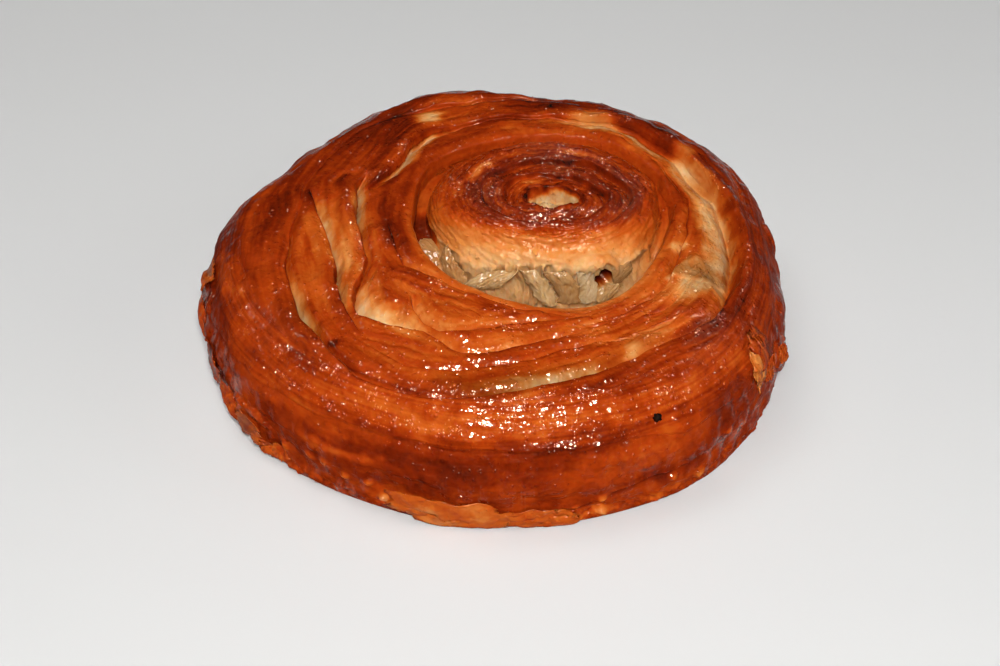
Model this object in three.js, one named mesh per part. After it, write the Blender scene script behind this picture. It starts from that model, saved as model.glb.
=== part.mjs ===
import * as THREE from 'three';

// A kouign amann: one strip of laminated dough wound into a coil, baked in its own caramel.
// Millimetres, +Z up. The origin is on the flat base, at the middle of the whole cake.
// The skin is one section line carried round the coil's centre: it starts on top of the coil's
// heart, drops into the hollow beside it, climbs over the wound bands, rounds the shoulder,
// runs down the side and closes on the middle of the flat base.

// Driving dimensions
const COIL_X = 12.7;            // the coil's centre, off the middle of the cake
const COIL_Y = 10.55;
const CROWN_Z = 33.4;           // top of the coil's heart
const BAND_Z = 30.0;            // top of the bands round it
const BELLY_Z = 12.5;           // height at which the side is widest
const SHOULDER = 12.5;          // how far in the side starts to round over
const HOLLOW_Z = 11.0;          // floor of the open hollow beside the heart
const FOOT_IN = 1.0;            // how far the side tucks in at the base
const EYE_X = 11.2;             // the eye of the heart, that its turns wind round
const EYE_Y = 6.2;
const CUP_X = 14.0;             // the small cup where the innermost turn ends
const CUP_Y = 7.2;
const CUP_DEPTH = 2.2;
const HEART_PITCH = 5.4;        // from one turn to the next on top of the heart
const HEART_STEP = 1.0;         // height of that step
const HEART_DIP = 1.2;          // how far the heart's middle lies below its crown

const ANGLE_STEPS = 90;         // sections round the coil
const HEART_ROWS = 17;
const HOLLOW_ROWS = 14;
const BAND_ROWS = 24;
const SIDE_ROWS = 9;

// Distances from the coil's centre at equal steps of angle, counter-clockwise from +X
const OUTLINE = [
  47.4, 47.2, 45.5, 44.7, 43.8, 44.2, 44.3, 47.6, 52.8, 55.8, 58.0, 63.2,
  71.0, 74.8, 75.6, 74.0, 71.4, 69.4, 66.6, 64.3, 62.0, 58.2, 54.2, 49.9,
];
const HEART_TOP = [
  22.0, 21.2, 19.8, 18.9, 18.5, 19.0, 20.7, 23.6, 25.2, 23.0, 18.3, 16.0, 15.2, 16.5, 19.0, 21.5,
];
const HEART_UNDER = [
  22.9, 22.4, 21.4, 20.4, 20.0, 20.6, 22.6, 25.6, 26.2, 24.4, 22.6, 18.4, 18.4, 20.8, 22.4, 22.6,
];
const HOLLOW_RIM = [
  24.4, 23.8, 22.8, 21.9, 21.4, 22.4, 24.8, 28.0, 29.0, 31.2, 31.4, 32.0, 32.6, 31.6, 27.6, 24.8,
];

// The heart's edge as seen from its eye, where an even round one would be 20
const EYE_TO_EDGE = [
  21.6, 20.6, 19.2, 18.4, 18.2, 18.4, 19.2, 19.6, 18.4, 15.6, 12.4, 11.0, 10.8, 11.8, 14.6, 18.6,
];

// Height of the heart's overhanging lip, and how far the wall under it draws in
const LIP_Z = [25, 25, 25, 25, 25, 25, 25, 25, 25, 24.8, 25.2, 26.4, 27, 27, 26.6, 25.6];
const LIP_TUCK = [0.8, 0.4, 0, 0, 0, 0, 0, 0.3, 0.6, 0.5, 0.1, 0.15, 0.25, 0.9, 1.3, 1.1];

// How far the gap beside the heart stands open, from a closed seam at 0
const HOLLOW_OPEN = [0.02, 0, 0, 0, 0, 0, 0, 0.04, 0.16, 0.62, 0.95, 1, 1, 1, 0.9, 0.35];

// Edges of the wound strip that stand over the turn inside them:
// [angle, distance from the coil's centre, height of the step, width of the low side]
// The outer edge goes round more than once, so its angle counts on past 360.
const OUTER_EDGE = [
  [130, 44.8, 0, 3], [148, 47.6, 0.8, 3], [181, 53.1, 0.6, 3], [195, 56.3, 1.3, 3], [203, 58.7, 2, 3],
  [209, 60.5, 4, 3.2], [217, 63.1, 6.2, 3.8], [222, 63.5, 5, 3], [228, 64.4, 2.4, 2.4], [233, 65.6, 1, 3],
  [245, 63.8, 0.8, 3], [254, 60.6, 2, 2.6], [261, 58.2, 3.4, 3], [268, 56.2, 4, 3.4], [277, 53.6, 3.8, 3.8],
  [284, 51.4, 1.8, 3.4], [292, 49, 1.2, 3], [309, 47.8, 1.5, 4], [316, 46.8, 2, 5], [320, 46, 3.4, 7],
  [325, 44.8, 5.3, 10], [344, 39.8, 5.6, 11], [358, 36.2, 5.2, 9.5], [376, 33.2, 4.6, 8], [393, 31.8, 4, 7],
  [410, 31.2, 3.6, 6.4], [425, 30.6, 3, 5.6], [437, 29, 2, 4], [454, 28.5, 1.1, 3], [472, 29.8, 1, 3],
  [488, 32.3, 1.5, 3], [498, 34.6, 2.6, 3.4], [508, 35.3, 4, 3.8], [516, 34.8, 4, 3.8], [525, 35.8, 3.2, 3.4],
  [538, 40, 0, 3],
];
const PETAL_EDGE = [
  [168, 40.5, 0, 3], [175, 42.4, 4, 3.2], [182, 42.2, 4.6, 3.4], [190, 41.6, 4, 3], [197, 41.3, 2.8, 3],
  [206, 42.6, 2.2, 3.5], [211, 45.2, 2.8, 4.5], [216, 50.2, 5.2, 7.2], [223, 53.9, 6, 9],
  [229, 52.6, 5.4, 8.5], [233, 50.9, 4.4, 7], [238, 49.2, 3.4, 4.5], [248, 50.4, 3.2, 5], [255, 48.4, 2.6, 5], [262, 45.6, 2.2, 4.5],
  [280, 41.2, 1.2, 4], [297, 38, 0, 4],
];
const LEAF_EDGE = [
  [177, 51.2, 0, 3], [183, 49.8, 4, 3.4], [189, 49, 5.2, 3.4], [197, 48.4, 6, 3.2], [204, 49.2, 6, 3.2],
  [212, 52.2, 5.2, 3], [218, 54.8, 4, 2.6], [228, 57, 0, 3],
];
const FLAP_EDGE = [
  [192, 34.5, 0, 2], [206, 36.4, 2, 3], [215, 38, 2.4, 3.6], [221, 35.6, 2, 2.6], [229, 33.9, 1.5, 2],
  [244, 33.9, 1, 2], [262, 35.2, 0.8, 2], [276, 36, 0, 2],
];
const FOLD_EDGE = [
  [226, 41.5, 0, 3], [231, 44.5, 2.4, 4], [236, 46.4, 4, 5], [241, 46.8, 4.4, 5], [250, 43, 1.8, 3.4],
  [257, 40.2, 1.5, 3], [268, 37.4, 1, 3], [285, 35.5, 0, 3],
];
const EDGES = [OUTER_EDGE, PETAL_EDGE, LEAF_EDGE, FLAP_EDGE, FOLD_EDGE];

// Creases round the side, where one skin of the dough ends over the next: [angle, height, depth]
const BAND_CREASE = [
  [168, 20, 0], [190, 19, 0.5], [215, 20, 0.6], [245, 21.5, 0.6], [275, 21, 0.6], [305, 18, 0.5],
  [330, 17, 0],
];
const FOOT_CREASE = [
  [258, 2.5, 0], [270, 5.3, 1], [278, 7.6, 1.3], [286, 9.7, 1.4], [294, 10.8, 1.3], [302, 12.2, 1.1],
  [310, 14.6, 0.8], [320, 18, 0],
];

// Skins that stand loose off the side: [angle, height, half width in degrees, half height, how proud]
const FLAKES = [
  [316, 20.5, 4, 4, 1.2], [326, 14, 4, 4, 0.9], [195, 17, 6, 5, 1.0], [215, 8, 6, 4, 1.1], [2, 15, 4, 6, 0.8],
];

function smooth(low, high, x) {
  const u = Math.min(1, Math.max(0, (x - low) / (high - low)));
  return u * u * (3 - 2 * u);
}

// Value of a closed curve given at equal steps of angle
function around(values, degrees) {
  const n = values.length;
  const t = ((degrees / 360) % 1 + 1) % 1 * n;
  const i = Math.floor(t);
  const u = t - i;
  const a = values[(i + n - 1) % n];
  const b = values[i % n];
  const c = values[(i + 1) % n];
  const d = values[(i + 2) % n];
  return b + 0.5 * u * (c - a + u * (2 * a - 5 * b + 4 * c - d + u * (3 * (b - c) + d - a)));
}

// Values of an edge at one angle, or null where the edge doesn't reach
function station(edge, degrees) {
  const last = edge.length - 1;
  if (degrees <= edge[0][0] || degrees >= edge[last][0]) {
    return null;
  }
  let i = 0;
  while (edge[i + 1][0] < degrees) {
    i += 1;
  }
  const from = edge[i];
  const to = edge[i + 1];
  const u = smooth(from[0], to[0], degrees) * 0.4 + (degrees - from[0]) / (to[0] - from[0]) * 0.6;
  const [reach, drop, low] = [1, 2, 3].map((k) => from[k] + (to[k] - from[k]) * u);
  return { reach, drop, low };
}

// Every edge that crosses this angle, on any of its turns
function edgesAt(degrees) {
  const found = [];
  for (const edge of EDGES) {
    for (const turn of [0, 360]) {
      const at = station(edge, degrees + turn);
      if (at) {
        found.push(at);
      }
    }
  }
  return found;
}

// Height and depth of a crease at one angle
function crease(line, degrees) {
  const at = station(line.map(([angle, height, depth]) => [angle, height, depth, 0]), degrees);
  return at ? { height: at.reach, depth: at.drop } : { height: 0, depth: 0 };
}

// How far the side stands proud of its own curve, at one height
function sideRelief(degrees, height) {
  let proud = 0;
  for (const line of [BAND_CREASE, FOOT_CREASE]) {
    const fold = crease(line, degrees);
    const above = height - fold.height;
    const skin = 0.7 * Math.exp(-Math.pow((above - 1.6) / 2.2, 2));
    const groove = Math.exp(-Math.pow((above + 0.6) / 1.3, 2));
    proud += fold.depth * (skin - groove);
  }
  for (const [angle, level, wide, tall, out] of FLAKES) {
    const turn = ((degrees - angle + 540) % 360 - 180) / wide;
    const rise = (height - level) / tall;
    proud += out * Math.exp(-Math.pow(turn, 4) - Math.pow(rise, 4));
  }
  return proud;
}

// How deep the top of the heart lies below its own curve. Its turns are low steps inwards on a spiral
// round the eye, and beside the eye is a small cup drawn out to a point on one side.
function heartDepth(x, y) {
  const angle = Math.atan2(y - EYE_Y, x - EYE_X) * 180 / Math.PI;
  const near = Math.hypot(x - EYE_X, y - EYE_Y) / around(EYE_TO_EDGE, angle) * 20;
  let depth = 0;
  for (let n = 0; n < 3; n += 1) {
    const run = ((angle + 160) % 360 + 360) % 360 / 360 + n;
    const turn = 18.9 - HEART_PITCH * run * (1 - 0.03 * run);
    const step = HEART_STEP * smooth(0, 0.15, run) * smooth(2.6, 4.2, turn);
    const inside = turn - near;
    const wall = smooth(-0.7, 0.7, inside);
    const back = Math.min(1, Math.max(0, 1 - Math.max(0, inside) / 4));
    depth += step * wall * Math.pow(back, 1.4);
    depth -= 0.2 * step * Math.exp(-Math.pow((inside + 1.2) / 1.3, 2)) * (1 - wall);
  }
  const cupX = x - CUP_X;
  const cupY = (y - CUP_Y) * (1 + 0.55 * smooth(0, 6, cupX));
  return depth + CUP_DEPTH * (1 - smooth(0.5, 1, Math.hypot(cupX / 6.6, cupY / 3.4)));
}

// How deep the skin lies below the bands' own curve, at one distance from the centre
function stepDown(edges, reach) {
  let depth = 0;
  for (const edge of edges) {
    const inside = edge.reach - reach;
    const wall = smooth(-0.8, 0.8, inside);
    const back = Math.max(0, 1 - Math.max(0, inside) / edge.low);
    depth += edge.drop * wall * Math.pow(back, 1.5);
    depth -= 0.18 * edge.drop * Math.exp(-Math.pow((inside + 1.6) / 1.8, 2)) * (1 - wall);
  }
  return depth;
}

// The section's guide points at one angle, [distance from the coil's centre, height]
function guides(degrees) {
  const rim = around(OUTLINE, degrees);
  const top = around(HEART_TOP, degrees);
  const under = around(HEART_UNDER, degrees);
  const hollow = around(HOLLOW_RIM, degrees);
  const open = Math.min(1, Math.max(0, around(HOLLOW_OPEN, degrees)));
  const tuck = Math.min(1.4, Math.max(0, around(LIP_TUCK, degrees))) * open;
  const radian = Math.PI / 180;
  const lobe = Math.abs(Math.sin((degrees * 6 + 60 * Math.sin((degrees * 2 + 30) * radian)) * radian)) - 0.5;
  const lip = around(LIP_Z, degrees) + 1.1 * lobe * Math.min(1, Math.max(0.15, tuck)) * open;
  const groove = BAND_Z - 3.0;
  const deep = (z) => groove + (z - groove) * open;
  const bandZ = BAND_Z + 0.7 * Math.sin((degrees - 40) * radian);
  const points = [
    [0, CROWN_Z - HEART_DIP],
    [top * 0.16, CROWN_Z - HEART_DIP + 0.4],
    [top * 0.34, CROWN_Z - 0.3],
    [top * 0.68, CROWN_Z],
    [top * 0.9, CROWN_Z - 1.1],
    [top + (under - top) * 0.25, CROWN_Z - 3.6],
    [top + (under - top) * 0.7 + 0.5 * open, deep(lip + 1.6)],
    [under, deep(lip)],
    [under - 0.2 * open - 1.3 * tuck, deep(lip - 1.7)],
    [under - 0.4 * open - 2.4 * tuck + 0.2, deep(HOLLOW_Z + 7)],
    [under + 0.8 * open - 1.8 * tuck + 0.3, deep(HOLLOW_Z + 0.8)],
    [under + (hollow - under) * 0.5, deep(HOLLOW_Z)],
    [hollow - 0.5 * open, deep(HOLLOW_Z + 1.5)],
    [hollow + 1.3 * open, deep(HOLLOW_Z + 7)],
    [hollow + 0.5 * open, deep(24.5)],
    [hollow + 0.2, bandZ - 2.0],
    [hollow + 1.6, bandZ],
    [hollow + (rim - SHOULDER - hollow) * 0.55, bandZ + 0.2],
  ];
  for (const turn of [0.06, 0.27, 0.48, 0.7, 0.86, 1]) {
    const bend = turn * Math.PI / 2;
    points.push([rim - SHOULDER * (1 - Math.sin(bend)), BELLY_Z + (bandZ - BELLY_Z) * Math.cos(bend)]);
  }
  points.push([rim - FOOT_IN * 0.2, BELLY_Z * 0.7]);
  points.push([rim - FOOT_IN * 0.6, BELLY_Z * 0.38]);
  points.push([rim - FOOT_IN, 1.4]);
  points.push([rim - FOOT_IN - 1.1, 0.2]);
  points.push([rim - FOOT_IN - 2.6, 0]);
  return points;
}

// A smooth line through the guide points, at t counted in points
function along(points, t) {
  const last = points.length - 1;
  const i = Math.min(last - 1, Math.floor(t));
  const u = t - i;
  const result = [0, 0];
  for (let k = 0; k < 2; k += 1) {
    const b = points[i][k];
    const c = points[i + 1][k];
    const a = i > 0 ? points[i - 1][k] : b;
    const d = i < last - 1 ? points[i + 2][k] : c;
    result[k] = b + 0.5 * u * (c - a + u * (2 * a - 5 * b + 4 * c - d + u * (3 * (b - c) + d - a)));
  }
  return result;
}

// Places for the rows between two guide points, closer together where an edge passes
function rowPlaces(points, edges, from, to, count, crowd) {
  const fine = 240;
  const sums = [0];
  for (let k = 0; k < fine; k += 1) {
    const t0 = from + (to - from) * k / fine;
    const here = along(points, t0);
    const next = along(points, t0 + (to - from) / fine);
    const length = Math.hypot(next[0] - here[0], next[1] - here[1]);
    let weight = 1;
    for (const edge of edges) {
      const gap = (edge.reach - here[0]) / 0.9;
      weight += crowd * Math.min(1, edge.drop / 2) * Math.exp(-gap * gap);
    }
    sums.push(sums[k] + length * weight);
  }
  const places = [];
  let k = 0;
  for (let row = 1; row <= count; row += 1) {
    const goal = sums[fine] * row / count;
    while (k < fine - 1 && sums[k + 1] < goal) {
      k += 1;
    }
    const part = Math.min(1, (goal - sums[k]) / (sums[k + 1] - sums[k]));
    places.push(from + (to - from) * (k + part) / fine);
  }
  return places;
}

// One section of the skin, as [distance, height] from the heart's middle to the edge of the base
function section(degrees) {
  const points = guides(degrees);
  const bands = edgesAt(degrees);
  const last = points.length - 1;
  const across = Math.cos(degrees * Math.PI / 180);
  const upward = Math.sin(degrees * Math.PI / 180);
  const line = [];
  const heartEnd = 4.6;
  const hollowEnd = 15.6;
  const bandEnd = 22.4;
  const lay = (t, depthAt) => {
    const here = along(points, t);
    const next = along(points, Math.min(last, t + 0.01));
    const length = Math.hypot(next[0] - here[0], next[1] - here[1]) || 1;
    const side = t > 19 ? smooth(1, 4, here[1]) * sideRelief(degrees, here[1]) : 0;
    const depth = depthAt(here[0]) - side;
    const normal = [-(next[1] - here[1]) / length, (next[0] - here[0]) / length];
    line.push([here[0] - normal[0] * depth, here[1] - normal[1] * depth]);
  };
  const onHeart = (reach) => heartDepth(COIL_X + reach * across, COIL_Y + reach * upward);
  const onBands = (reach) => stepDown(bands, reach);
  const level = () => 0;
  rowPlaces(points, [], 0.3, heartEnd, HEART_ROWS, 0).forEach((t) => lay(t, onHeart));
  rowPlaces(points, [], heartEnd, hollowEnd, HOLLOW_ROWS, 0).forEach((t) => lay(t, level));
  rowPlaces(points, bands, hollowEnd, bandEnd, BAND_ROWS, 2.6).forEach((t) => lay(t, onBands));
  rowPlaces(points, [], bandEnd, last, SIDE_ROWS, 0).forEach((t) => lay(t, level));
  return line;
}

function pastryGeometry() {
  const positions = [];
  const index = [];
  const sections = [];
  for (let i = 0; i < ANGLE_STEPS; i += 1) {
    sections.push(section(360 * i / ANGLE_STEPS));
  }
  const rows = sections[0].length;
  positions.push(COIL_X, COIL_Y, CROWN_Z - HEART_DIP - heartDepth(COIL_X, COIL_Y));
  for (let j = 0; j < rows; j += 1) {
    for (let i = 0; i < ANGLE_STEPS; i += 1) {
      const angle = 2 * Math.PI * i / ANGLE_STEPS;
      const [reach, height] = sections[i][j];
      positions.push(COIL_X + reach * Math.cos(angle), COIL_Y + reach * Math.sin(angle), Math.max(0, height));
    }
  }
  positions.push(COIL_X, COIL_Y, 0);
  const end = 1 + rows * ANGLE_STEPS;
  for (let i = 0; i < ANGLE_STEPS; i += 1) {
    const next = (i + 1) % ANGLE_STEPS;
    index.push(0, 1 + i, 1 + next);
    for (let j = 0; j < rows - 1; j += 1) {
      const a = 1 + j * ANGLE_STEPS + i;
      const b = 1 + j * ANGLE_STEPS + next;
      const c = a + ANGLE_STEPS;
      const d = b + ANGLE_STEPS;
      index.push(a, c, d);
      index.push(a, d, b);
    }
    index.push(end, 1 + (rows - 1) * ANGLE_STEPS + next, 1 + (rows - 1) * ANGLE_STEPS + i);
  }
  const geometry = new THREE.BufferGeometry();
  geometry.setAttribute('position', new THREE.Float32BufferAttribute(positions, 3));
  geometry.setIndex(index);
  geometry.computeVertexNormals();
  return geometry;
}

const crust = new THREE.MeshStandardMaterial({ color: 0xb4561c, roughness: 0.32, metalness: 0 });

const pastry = new THREE.Mesh(pastryGeometry(), crust);
pastry.name = 'pastry';

const kouignAmann = new THREE.Group();
kouignAmann.name = 'kouign_amann';
kouignAmann.add(pastry);

export default kouignAmann;
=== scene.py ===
import math
import bpy
import numpy as np
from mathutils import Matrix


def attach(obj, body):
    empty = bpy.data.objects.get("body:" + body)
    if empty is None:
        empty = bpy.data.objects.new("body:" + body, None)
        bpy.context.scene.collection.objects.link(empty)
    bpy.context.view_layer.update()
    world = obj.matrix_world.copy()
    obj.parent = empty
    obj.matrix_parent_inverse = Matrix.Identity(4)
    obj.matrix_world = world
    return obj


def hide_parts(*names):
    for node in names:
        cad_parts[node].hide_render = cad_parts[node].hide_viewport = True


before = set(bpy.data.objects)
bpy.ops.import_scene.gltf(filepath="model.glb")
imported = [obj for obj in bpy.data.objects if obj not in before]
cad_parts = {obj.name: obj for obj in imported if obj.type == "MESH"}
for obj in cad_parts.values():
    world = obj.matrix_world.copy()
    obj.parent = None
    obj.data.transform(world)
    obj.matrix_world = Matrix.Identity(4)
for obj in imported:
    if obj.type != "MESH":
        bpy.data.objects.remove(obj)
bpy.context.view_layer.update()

# A kouign amann: one strip of laminated dough wound into a coil and baked in its own caramel.
# Shapes are worked out in millimetres and put into the meshes in metres.

mm = 0.001
coil = {"x": 12.7, "y": 10.55}      # the coil's centre

# the camera: place, lens and film in mm, tilt in degrees from straight down
view = {"place": (1.70, -353.1, 325.2), "tilt": 47.5, "lens": 80.0, "filmWide": 36.0}
eye = bpy.data.objects.new("viewCamera", bpy.data.cameras.new("viewCamera"))
eye.data.lens = view["lens"]
eye.data.sensor_width = view["filmWide"]
eye.data.clip_start = 0.01
eye.location = [v * mm for v in view["place"]]
eye.rotation_euler = (math.radians(view["tilt"]), 0, 0)
bpy.context.collection.objects.link(eye)
bpy.context.scene.camera = eye
bpy.context.scene.view_settings.view_transform = "Standard"


# a ramp from 0 to 1 between two values, with level ends
def ease(low, high, x):
    u = np.clip((x - low) / (high - low), 0, 1)
    return u * u * (3 - 2 * u)


# one value turned into another by a share from 0 to 1
def mixed(one, other, share):
    return one * (1 - share) + other * share


# vectors scaled to length 1
def unit(v):
    return v / np.maximum(np.linalg.norm(v, axis=-1, keepdims=True), 1e-12)


# smooth unevenness: random slopes at the corners of a square or cubic lattice, blended between them by
# 6u^5 - 15u^4 + 10u^3. It runs from about -1.5 to 1.5 in lumps of about half the length, the same on every run.
cornerOrder = np.random.default_rng(11).permutation(256)
cornerOrder = np.concatenate([cornerOrder, cornerOrder]).astype(np.int32)
cornerSlopes = np.random.default_rng(12).normal(size=(256, 3)).astype(np.float32)
cornerSlopes /= np.linalg.norm(cornerSlopes, axis=1, keepdims=True)


def latticeNoise(places):
    places = [np.asarray(p, np.float32) for p in places]
    cells = [np.floor(p) for p in places]
    parts = [p - c for p, c in zip(places, cells)]
    blends = [f * f * f * (f * (6 * f - 15) + 10) for f in parts]
    cells = [c.astype(np.int32) & 255 for c in cells]
    total = 0
    for corner in range(2 ** len(places)):
        steps = [(corner >> k) & 1 for k in range(len(places))]
        order, share, slope = 0, 1, 0
        for cell, step in zip(cells, steps):
            order = cornerOrder[order + ((cell + step) & 255)]
        for k, (part, blend, step) in enumerate(zip(parts, blends, steps)):
            share = share * (blend if step else 1 - blend)
            slope = slope + cornerSlopes[order, k] * (part - step)
        total = total + share * slope
    return total


# the same scaled to a length in mm, in a plane or, to run over edges and down the side unbroken, in space.
# The seed shifts the lattice
lattice = {"cell": 1.7, "shift": (31.7, -17.3, 5.9), "plane": 3.4, "space": 3.2}


def ripple(x, y, length, seed=0.0):
    size = length / lattice["cell"]
    return lattice["plane"] * latticeNoise([p / size + by * seed for p, by in zip((x, y), lattice["shift"])])


def ripple3(x, y, z, length, seed=0.0):
    size = length / lattice["cell"]
    return lattice["space"] * latticeNoise([p / size + by * seed for p, by in zip((x, y, z), lattice["shift"])])


# several of them added up, each given by its height, length and seed
def ripples(x, y, z, parts):
    return sum(high * ripple3(x, y, z, length, seed) for high, length, seed in parts)


# a closed curve through values at equal steps of angle: uniform Catmull-Rom
def around(values, degrees):
    v = np.array(values, float)
    n = len(v)
    t = np.mod(degrees / 360.0, 1.0) * n
    i = np.floor(t).astype(int)
    u = t - i
    a, b, c, d = v[(i - 1) % n], v[i % n], v[(i + 1) % n], v[(i + 2) % n]
    return b + 0.5 * u * (c - a + u * (2 * a - 5 * b + 4 * c - d + u * (3 * (b - c) + d - a)))


# an edge's columns at these angles: straight between stations with slightly softened corners
def stations(table, degrees):
    t = np.array(table, float)
    inside = (degrees > t[0, 0]) & (degrees < t[-1, 0])
    i = np.clip(np.searchsorted(t[:, 0], degrees, side="right") - 1, 0, len(t) - 2)
    part = np.clip((degrees - t[i, 0]) / (t[i + 1, 0] - t[i, 0]), 0, 1)
    u = 0.4 * part * part * (3 - 2 * part) + 0.6 * part
    return t[i, 1:] + (t[i + 1, 1:] - t[i, 1:]) * u[..., None], inside


# the coil's measures: heights, then reach from the centre, height or openness at equal steps of angle
form = {
    "crown": 33.4, "band": 30.0, "belly": 12.5, "shoulder": 12.5, "hollow": 11.0, "footIn": 1.0,
    "eye": 1.2,
    "outline": [47.4, 47.2, 45.5, 44.7, 43.8, 44.2, 44.3, 47.6, 52.8, 55.8, 58.0, 63.2,
                71.0, 74.8, 75.6, 74.0, 71.4, 69.4, 66.6, 64.3, 62.0, 58.2, 54.2, 49.9],
    "heartTop": [22.0, 21.2, 19.8, 18.9, 18.5, 19.0, 20.7, 23.6, 25.2, 23.0, 18.3, 16.0, 15.2, 16.5, 19.0, 21.5],
    "heartUnder": [22.9, 22.4, 21.4, 20.4, 20.0, 20.6, 22.6, 25.6, 26.2, 24.4, 22.6, 18.4, 18.4, 20.8, 22.4, 22.6],
    "hollowRim": [24.4, 23.8, 22.8, 21.9, 21.4, 22.4, 24.8, 28.0, 29.0, 31.2, 31.4, 32.0, 32.6, 31.6, 27.6, 24.8],
    "heartLip": [25, 25, 25, 25, 25, 25, 25, 25, 25, 24.8, 25.2, 26.4, 27.0, 27.0, 26.6, 25.6],
    "heartTuck": [0.8, 0.4, 0, 0, 0, 0, 0, 0.3, 0.6, 0.5, 0.1, 0.15, 0.25, 0.9, 1.3, 1.1],
    "hollowOpen": [0.02, 0, 0, 0, 0, 0, 0, 0.04, 0.16, 0.62, 0.95, 1, 1, 1, 0.9, 0.35],
}

# edges of the strip that stand over the turn inside them:
# angle, reach, step, width of the low side, how pale it is
edges = {
    "outer": [(130, 44.8, 0, 3, 0), (139, 45.8, 1.0, 3, 0), (148, 47.6, 0.7, 3, 0), (163, 49.8, 0.5, 3, 0),
              (181, 53.1, 0.6, 3, 0), (195, 56.3, 1.3, 2.5, 0.1), (203, 58.7, 1.9, 3, 0.2),
              (209, 60.5, 4, 3.0, 0.85), (217, 63.1, 6.2, 3.6, 1), (222, 63.5, 5.0, 2.6, 0.5),
              (228, 64.4, 2.4, 2, 0.0), (233, 65.6, 1.0, 3, 0), (245, 63.8, 0.8, 3, 0),
              (252, 61.2, 1.5, 3, 0.1), (254, 60.6, 2.0, 2.2, 0.3), (261, 58.2, 3.4, 2.8, 0.7),
              (268, 56.2, 4.0, 3.4, 1.0), (277, 53.6, 3.8, 3.8, 1.0), (281, 52.4, 2.2, 3.6, 0.5),
              (286, 50.8, 1.2, 3, 0.1), (292, 49, 1.2, 3, 0.0), (301, 48.4, 1.4, 4, 0.1),
              (309, 47.8, 1.5, 4, 0.1), (316, 46.8, 2.0, 5, 0.2), (320, 46, 3.4, 7, 0.7),
              (324, 45, 5.2, 10, 1), (332, 43.2, 5.6, 11, 1), (344, 39.8, 5.6, 11, 1),
              (358, 36.2, 5.2, 9.5, 1), (376, 33.2, 4.6, 8, 0.9), (393, 31.8, 4.0, 7, 0.85),
              (410, 31.2, 3.6, 6.4, 0.9), (425, 30.6, 3.0, 5.6, 0.9), (437, 29, 2.0, 4, 0.6),
              (454, 28.5, 1.1, 3, 0), (472, 29.8, 1.0, 3, 0), (488, 32.3, 1.5, 3, 0.2),
              (498, 34.6, 2.6, 3.4, 0.9), (508, 35.3, 4, 3.8, 1), (516, 34.8, 4, 3.8, 1),
              (525, 35.8, 3.2, 3.4, 0.9), (531, 37.6, 1.4, 3, 0.3), (538, 40, 0, 3, 0)],
    "petal": [(168, 40.5, 0, 3, 0), (174, 42.4, 4, 3.0, 0.9), (182, 42.2, 4.6, 3.4, 0.9),
              (190, 41.6, 4.0, 2.6, 0.6), (197, 41.3, 2.8, 3, 0.15), (206, 42.6, 2.2, 3.5, 0.15),
              (211, 45.2, 2.8, 4.5, 0.2), (215.5, 49.8, 5, 7, 0.75), (219, 52.5, 6, 8.5, 1),
              (223, 53.9, 6, 9, 1), (229, 52.6, 5.4, 8.5, 0.95), (233, 50.9, 4.4, 7, 0.8),
              (238, 49.2, 3.4, 4.5, 0.5), (243, 49.8, 3.2, 4.5, 0.45), (248, 50.4, 3.2, 5, 0.5),
              (255, 48.4, 2.6, 5, 0.5), (262, 45.6, 2.2, 4.5, 0.4), (270, 43.3, 1.7, 4, 0.25),
              (280, 41.2, 1.2, 4, 0.1), (297, 38, 0, 4, 0)],
    "leaf": [(177, 51.2, 0, 3, 0), (183, 49.8, 4, 3.4, 0.9), (189, 49.0, 5.2, 3.2, 0.9),
             (197, 48.4, 6, 2.8, 0.8), (204, 49.2, 6, 3.0, 0.85), (212, 52.2, 5.2, 2.8, 0.9),
             (218, 54.8, 4, 2.4, 0.6), (223, 56, 2.2, 2, 0.2), (228, 57, 0, 3, 0)],
    "flap": [(192, 34.5, 0, 2, 0), (199, 35.3, 1.2, 2.5, 0.1), (208, 36.8, 2.0, 3.2, 0.2),
             (215, 38, 2.4, 3.6, 0.25), (221, 35.6, 2.0, 2.6, 0.2), (229, 33.9, 1.5, 2, 0.1),
             (244, 33.9, 1.0, 2, 0.1), (262, 35.2, 0.8, 2, 0.1), (276, 36, 0, 2, 0)],
    "fold": [(226, 41.5, 0, 3, 0), (231, 44.5, 2.4, 4, 0.6), (236, 46.4, 4, 5, 0.5),
             (240.5, 46.8, 4.4, 5, 0.45), (245, 45.4, 3, 4.5, 0.3), (250, 43.0, 1.8, 3.2, 0.3),
             (257, 40.2, 1.5, 3, 0.15), (268, 37.4, 1.0, 3, 0.1), (285, 35.5, 0, 3, 0)],
    "slipA": [(232, 57.5, 0, 3, 0), (240, 58.6, 1.2, 3, 0.1), (248, 56.7, 1.6, 3, 0.15),
              (258, 51.2, 1.4, 3, 0.1), (271, 46.6, 1.1, 3, 0.05), (283, 44, 0, 3, 0)],
    "slipB": [(282, 39, 0, 3, 0), (292, 38.2, 1.2, 3, 0.1), (304, 35.8, 1.6, 3.2, 0.2),
              (316, 33.2, 1.4, 3, 0.2), (330, 30.6, 1.3, 3, 0.1), (352, 28.6, 1.1, 2.6, 0.1),
              (380, 27.2, 1.0, 2.4, 0.1), (402, 26, 0, 2, 0)],
    "slipC": [(440, 36, 0, 3, 0), (456, 36.4, 1.0, 3, 0.05), (474, 38.4, 1.3, 3, 0.1),
              (490, 41.5, 1.0, 3, 0.1), (500, 44.5, 0, 3, 0)],
}


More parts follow.
